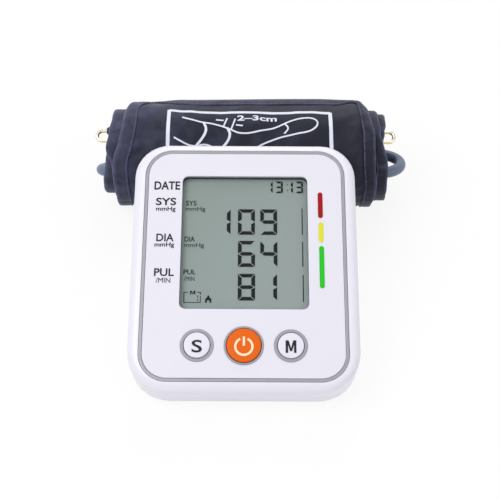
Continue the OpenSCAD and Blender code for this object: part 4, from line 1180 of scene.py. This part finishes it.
# %% Slabs
def slabs(name, outlines, lay_on, body, finish, low=-0.02, high=0.04):
    """One piece of flat plates: each outline gives a top, an underside and a strip of sides."""
    points, faces, start = [], [], 0
    for shape in outlines:
        flat, count = np.asarray(shape, float), len(shape)
        points += [lay_on(*flat.T, np.full(count, height)) for height in (high, low)]
        top = list(range(start, start + count))
        under = list(range(start + 2 * count - 1, start + count - 1, -1))
        sides = grid_faces(2, count, close_columns=True, start=start)[:, ::-1].tolist()
        faces += [top, under] + sides
        start += 2 * count
    mesh = bpy.data.meshes.new(name)
    mesh.from_pydata(np.concatenate(points) * MM, [], faces)
    return add_piece(made_outward(mesh), body, finish)


def stadium(x, low, high, width):
    """Bar with round ends, from v low to v high."""
    q = np.linspace(0, math.pi, 13)
    arc = np.column_stack([np.cos(q), np.sin(q)]) * width / 2
    return np.concatenate([arc + [x, high - width / 2], -arc + [x, low + width / 2]])


# Each bar has its x and its two ends up the face.
BARS = {"red": (36.5, 85.3, 98.8), "yellow": (36.65, 72.8, 83.2), "green": (36.7, 49.7, 70.9)}
BAR_W = 2.35
for (colour, ends), finish in zip(BARS.items(), BAR_FINISHES):
    slabs(f"level_bar_{colour}", [stadium(*ends, BAR_W)], on_face, "unit", finish)
print("level bars:", len(BARS))

# %% Segments of a digit
SEGMENTS = {"0": "ABCDEF", "1": "BC", "3": "ABCDG", "4": "BCFG", "6": "ACDEFG", "8": "ABCDEFG",
            "9": "ABCDFG"}


def segment(letter, x, v, width, height, stroke, gap):
    """Outline of one segment in a cell whose lower left corner is at x, v."""
    mid, half, inner = height / 2, stroke / 2, gap + stroke
    top = [(gap, height), (width - gap, height), (width - inner, height - stroke),
           (inner, height - stroke)]
    left_top = [(0, height - gap), (stroke, height - inner), (stroke, mid + half + gap),
                (0, mid + gap / 2)]
    middle = [(gap + half / 2, mid), (stroke + gap / 2, mid + half),
              (width - stroke - gap / 2, mid + half), (width - gap - half / 2, mid),
              (width - stroke - gap / 2, mid - half), (stroke + gap / 2, mid - half)]
    base = top if letter in "AD" else middle if letter == "G" else left_top
    flip_x, flip_v = letter in "BC", letter in "CDE"
    return [(x + (width - a if flip_x else a), v + (height - b if flip_v else b)) for a, b in base]


def digit(character, *cell):
    """Outlines of all lit segments of a digit."""
    return [segment(letter, *cell) for letter in SEGMENTS[character]]


print("digits that the display needs:", *SEGMENTS)

# %% What the display shows
# The liquid crystal cell's face lies this far behind the panel; its marks are a thin film on it.
GLASS_N, GLASS_FILM = -3.8, (-0.01, 0.03)


def block(x0, v0, x1, v1, grow=0.0):
    """Rectangle between two corners, a little larger all round by `grow`."""
    return [(x0 - grow, v0 - grow), (x1 + grow, v0 - grow), (x1 + grow, v1 + grow), (x0 - grow, v1 + grow)]


def letter_m(x, v, width, height):
    """The letter M as one outline about its middle, with even thick strokes."""
    corners = [(0, 0), (0, 1), (0.28, 1), (0.5, 0.36), (0.72, 1), (1, 1), (1, 0), (0.78, 0),
               (0.78, 0.68), (0.6, 0.14), (0.4, 0.14), (0.22, 0.68), (0.22, 0)]
    return (np.array(corners) - 0.5) * [width, height] + [x, v]


# Width, height, stroke and gap of a digit.
BIG, SMALL = (8.2, 13.3, 1.8, 0.26), (3.7, 6.2, 0.95, 0.14)
DIGITS = [("1", -15.1, 78.0), ("0", -3.3, 78.0), ("9", 7.5, 78.0), ("6", -3.2, 61.5), ("4", 7.55, 61.5),
          ("8", -3.1, 44.7), ("1", 7.3, 44.7)]
TIME = [("1", 9.9, 100.0), ("3", 14.9, 100.0), ("1", 19.8, 100.0), ("3", 24.8, 100.0)]
shapes = [shape for character, x, v in DIGITS for shape in digit(character, x, v, *BIG)]
shapes += [shape for character, x, v in TIME for shape in digit(character, x, v, *SMALL)]
shapes += [block(20.6, v, 21.1, v + 0.5) for v in (101.2, 104.3)]
TICKS = [(27.84, 78.1, 92.0), (27.89, 61.7, 74.5), (27.92, 44.1, 57.6)]
BOX_LINES = [(-28.5, 43.6, -20.7, 43.6), (-28.5, 43.6, -28.5, 48.6), (-28.5, 48.6, -26.9, 48.6),
             (-22.0, 48.6, -20.7, 48.6), (-20.7, 47.6, -20.7, 48.6), (-20.7, 43.6, -20.7, 46.6),
             (-22.0, 44.4, -22.0, 45.1), (-22.0, 46.2, -22.0, 46.9)]
USER_SIGN = [(-18.5, 43.5), (-17.6, 43.5), (-17.6, 44.6), (-16.3, 44.6), (-16.3, 43.5), (-15.4, 43.5),
             (-15.5, 45.3), (-16.5, 46.4), (-16.6, 47.1), (-17.3, 47.1), (-17.4, 46.4), (-18.4, 45.3)]
TICK_HALF, LINE_HALF = 0.24, 0.17
marks = [block(x - TICK_HALF, low, x + TICK_HALF, high) for x, low, high in TICKS]
marks += [block(*ends, grow=LINE_HALF) for ends in BOX_LINES]
marks += [USER_SIGN, letter_m(-24.4, 48.5, 2.5, 1.9)]
for name, outlines, finish in (("lcd_digits", shapes, LCD_DARK), ("lcd_marks", marks, LCD_FAINT)):
    slabs(name, outlines, on_face, "unit", finish, *(GLASS_N + height for height in GLASS_FILM))
LCD_WORDS = [("SYS", -26.2, 94.4, 2.6, 5.2, 0.014), ("mmHg", -24.1, 91.1, 2.8, 9.6, 0.004),
             ("DIA", -26.5, 75.6, 2.6, 5.0, 0.014), ("mmHg", -24.3, 72.2, 2.8, 9.6, 0.004),
             ("PUL", -26.1, 58.8, 2.5, 5.8, 0.014), ("/MIN", -26.2, 55.4, 2.2, 5.0, 0)]
lettering("lcd_words", LCD_WORDS, lambda x, v, n: on_face(x, v, n + GLASS_N), "unit", LCD_FAINT,
          0.03)
print("segments:", len(shapes))

# %% [markdown]
# ## Painted shadow in the display's well
# A dark strip lines the well between the lens and the liquid crystal cell. It is a painted shadow:
# it stands for the shade along the window's top edge. From in front only its far side shows, as a
# thin dark line along the window's top edge. It is a rectangular profile carried round a rounded
# rectangle.

# %% Painted shadow strip of the display
# The window's width, its length up the face, where its front edge lies, and its corners' radius.
WINDOW_W, WINDOW_L, WINDOW_FRONT, WINDOW_R = 60.9, 68.0, 39.2, 3.0


def round_the_window(grow, count=40):
    """Rounded rectangle that lies `grow` outside the window, as x and v."""
    radius = WINDOW_R + grow
    q = np.linspace(0, 2 * math.pi, count, endpoint=False) + math.pi / (2 * count)
    side_x, side_v = np.sign(np.cos(q)), np.sign(np.sin(q))
    x = side_x * (WINDOW_W / 2 - WINDOW_R) + radius * np.cos(q)
    v = side_v * (WINDOW_L / 2 - WINDOW_R) + radius * np.sin(q)
    return x, v + WINDOW_FRONT + WINDOW_L / 2


# A dark strip put where there is only shade: painted shadow along the window's top edge.
SHADOW_STRIP_FINISH = soft_rubber("painted_shadow_strip", srgb(66, 67, 73), 0.85)
SHADOW_STRIP_PROFILE = [(0.1, -2.8), (0.1, -3.7), (0.45, -3.7), (0.45, -2.8)]
shadow_strip_rings = np.stack([on_face(*round_the_window(grow), n) for grow, n in SHADOW_STRIP_PROFILE])
shadow_strip_mesh = put_in_mesh("display_shadow_strip", shadow_strip_rings,
                          grid_faces(*shadow_strip_rings.shape[:2], close_rows=True, close_columns=True))
made_outward(shadow_strip_mesh).set_sharp_from_angle(angle=math.radians(40))
add_piece(shadow_strip_mesh, "unit", SHADOW_STRIP_FINISH)
print("gasket of", shadow_strip_rings.shape[1], "points round the window")

# %% [markdown]
# ## Signs on the buttons
# Each sign is a print on a button's top, so it belongs to the button's own body and goes down with
# it. The power sign is part of a ring with a bar in its gap. The M is an outline of its own,
# because thickening the font's M makes its strokes run into each other.

# %% Signs on the buttons
# The buttons' place up the face, how far they stand out, and half the power ring's gap in degrees.
BUTTON_V, BUTTON_N, POWER_GAP = 21.25, 0.9, 26


def on_button(x, v, n):
    """Place on a button's top, which stands a little out of the face."""
    return on_face(x, v, n + BUTTON_N)


def ring_arc(x, v, radius, width, start, end):
    """Outline of part of a flat ring, out along the outer arc and back along the inner one."""
    q = np.radians(np.linspace(start, end, 61))
    spokes = np.column_stack([np.cos(q), np.sin(q)])
    return np.concatenate([spokes * (radius + width / 2), spokes[::-1] * (radius - width / 2)]) + [x, v]


lettering("sign_set", [("S", -21.6, BUTTON_V - 0.1, 6.0, 4.8, 0.012)], on_button, "set_button",
          INK_BLACK, 0.04)
slabs("sign_memory", [letter_m(21.65, BUTTON_V - 0.1, 4.9, 5.9)], on_button, "memory_button", INK_BLACK)
power_ring = ring_arc(0, BUTTON_V - 0.15, 3.95, 1.05, 90 + POWER_GAP, 450 - POWER_GAP)
power_bar = block(-0.52, BUTTON_V + 0.2, 0.52, BUTTON_V + 4.6)
slabs("sign_power", [power_ring, power_bar], on_button, "power_button", INK_CREAM)
print("signs on the buttons: 3")

# %% [markdown]
# ## Floor and light
# The stage is a studio: a large white floor, a white surround and three soft lamps. The camera and
# mirrors see the floor as plain white mixed with a share of its real shading, so it keeps a faint
# shadow, and rays that come from below look through it.

# %% Stage
DIRECT_RAYS = ("Is Camera Ray", "Is Glossy Ray", "Is Transmission Ray")


def stage_white():
    """Plain white mixed with real shading for direct rays, matt for others, clear from below."""
    finish = Finish("stage_white")
    first, second, third = (finish.node("ShaderNodeLightPath", out=kind) for kind in DIRECT_RAYS)
    seen = clamped(first + second + third)
    matt = finish.node("ShaderNodeBsdfDiffuse", sockets={"Color": (0.9, 0.9, 0.9, 1)})
    lit = finish.node("ShaderNodeEmission", sockets={"Color": (1, 1, 1, 1), "Strength": 1.0})
    above = finish.node("ShaderNodeMixShader", sockets={0: seen * 0.88, 1: matt, 2: lit})
    clear = finish.node("ShaderNodeBsdfTransparent")
    behind = finish.node("ShaderNodeNewGeometry", out="Backfacing")
    return finish.surface(finish.node("ShaderNodeMixShader", sockets={0: behind, 1: above, 2: clear}))


FLOOR_REACH, FLOOR_DROP = 3000.0, 0.02
corners = np.array([[-1, -1, 0], [1, -1, 0], [1, 1, 0], [-1, 1, 0]]) * FLOOR_REACH - [0, 0, FLOOR_DROP]
floor_mesh = put_in_mesh("floor", corners, np.array([[0, 1, 2, 3]]), smooth=False)
floor = bpy.data.objects.new("floor", floor_mesh)
floor.data.materials.append(stage_white())
bpy.context.scene.collection.objects.link(floor)
floor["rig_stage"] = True

world = bpy.data.worlds.new("studio")
bpy.context.scene.world = world
world.use_nodes = True
links, nodes = world.node_tree.links, world.node_tree.nodes
rays, strength = nodes.new("ShaderNodeLightPath"), nodes.new("ShaderNodeMapRange")
direct = rays.outputs[DIRECT_RAYS[0]]
for kind in DIRECT_RAYS[1:]:
    either = nodes.new("ShaderNodeMath")
    either.operation = "MAXIMUM"
    links.new(direct, either.inputs[0])
    links.new(rays.outputs[kind], either.inputs[1])
    direct = either.outputs[0]
strength.inputs["To Min"].default_value, strength.inputs["To Max"].default_value = 0.55, 1.0
links.new(direct, strength.inputs["Value"])
links.new(strength.outputs[0], nodes["Background"].inputs["Strength"])
nodes["Background"].inputs["Color"].default_value = (1, 1, 1, 1)


def soft_lamp(name, place, aim, size, power):
    """Square area lamp, in metres, that points at a place on the object."""
    data = bpy.data.lights.new(name, "AREA")
    data.size, data.energy = size, power
    lamp = bpy.data.objects.new(name, data)
    bpy.context.scene.collection.objects.link(lamp)
    way = (Vector(aim) - Vector(place)).to_track_quat("-Z", "Y").to_matrix().to_4x4()
    lamp.matrix_world = Matrix.Translation(Vector(place)) @ way


soft_lamp("key", (-0.7, -0.3, 1.1), (0, 0, 0.03), 0.8, 8.0)
soft_lamp("fill", (0.8, -0.6, 0.7), (0, 0, 0.03), 0.8, 2.3)
soft_lamp("back", (0.1, 0.9, 0.8), (0, 0.05, 0.03), 0.7, 4.0)
bpy.context.scene.view_settings.view_transform = "Standard"
print("stage is set")

# %% [markdown]
# ## Sizes
# The box of the visual model is printed beside the box of the CAD model. The visual
# model must keep to the box of the CAD model.

# %% Sizes
VISUAL_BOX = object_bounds()
for name, box in (("CAD box", CAD_BOX), ("visual box", VISUAL_BOX)):
    print(name, [round(value, 4) for corner in box for value in corner])
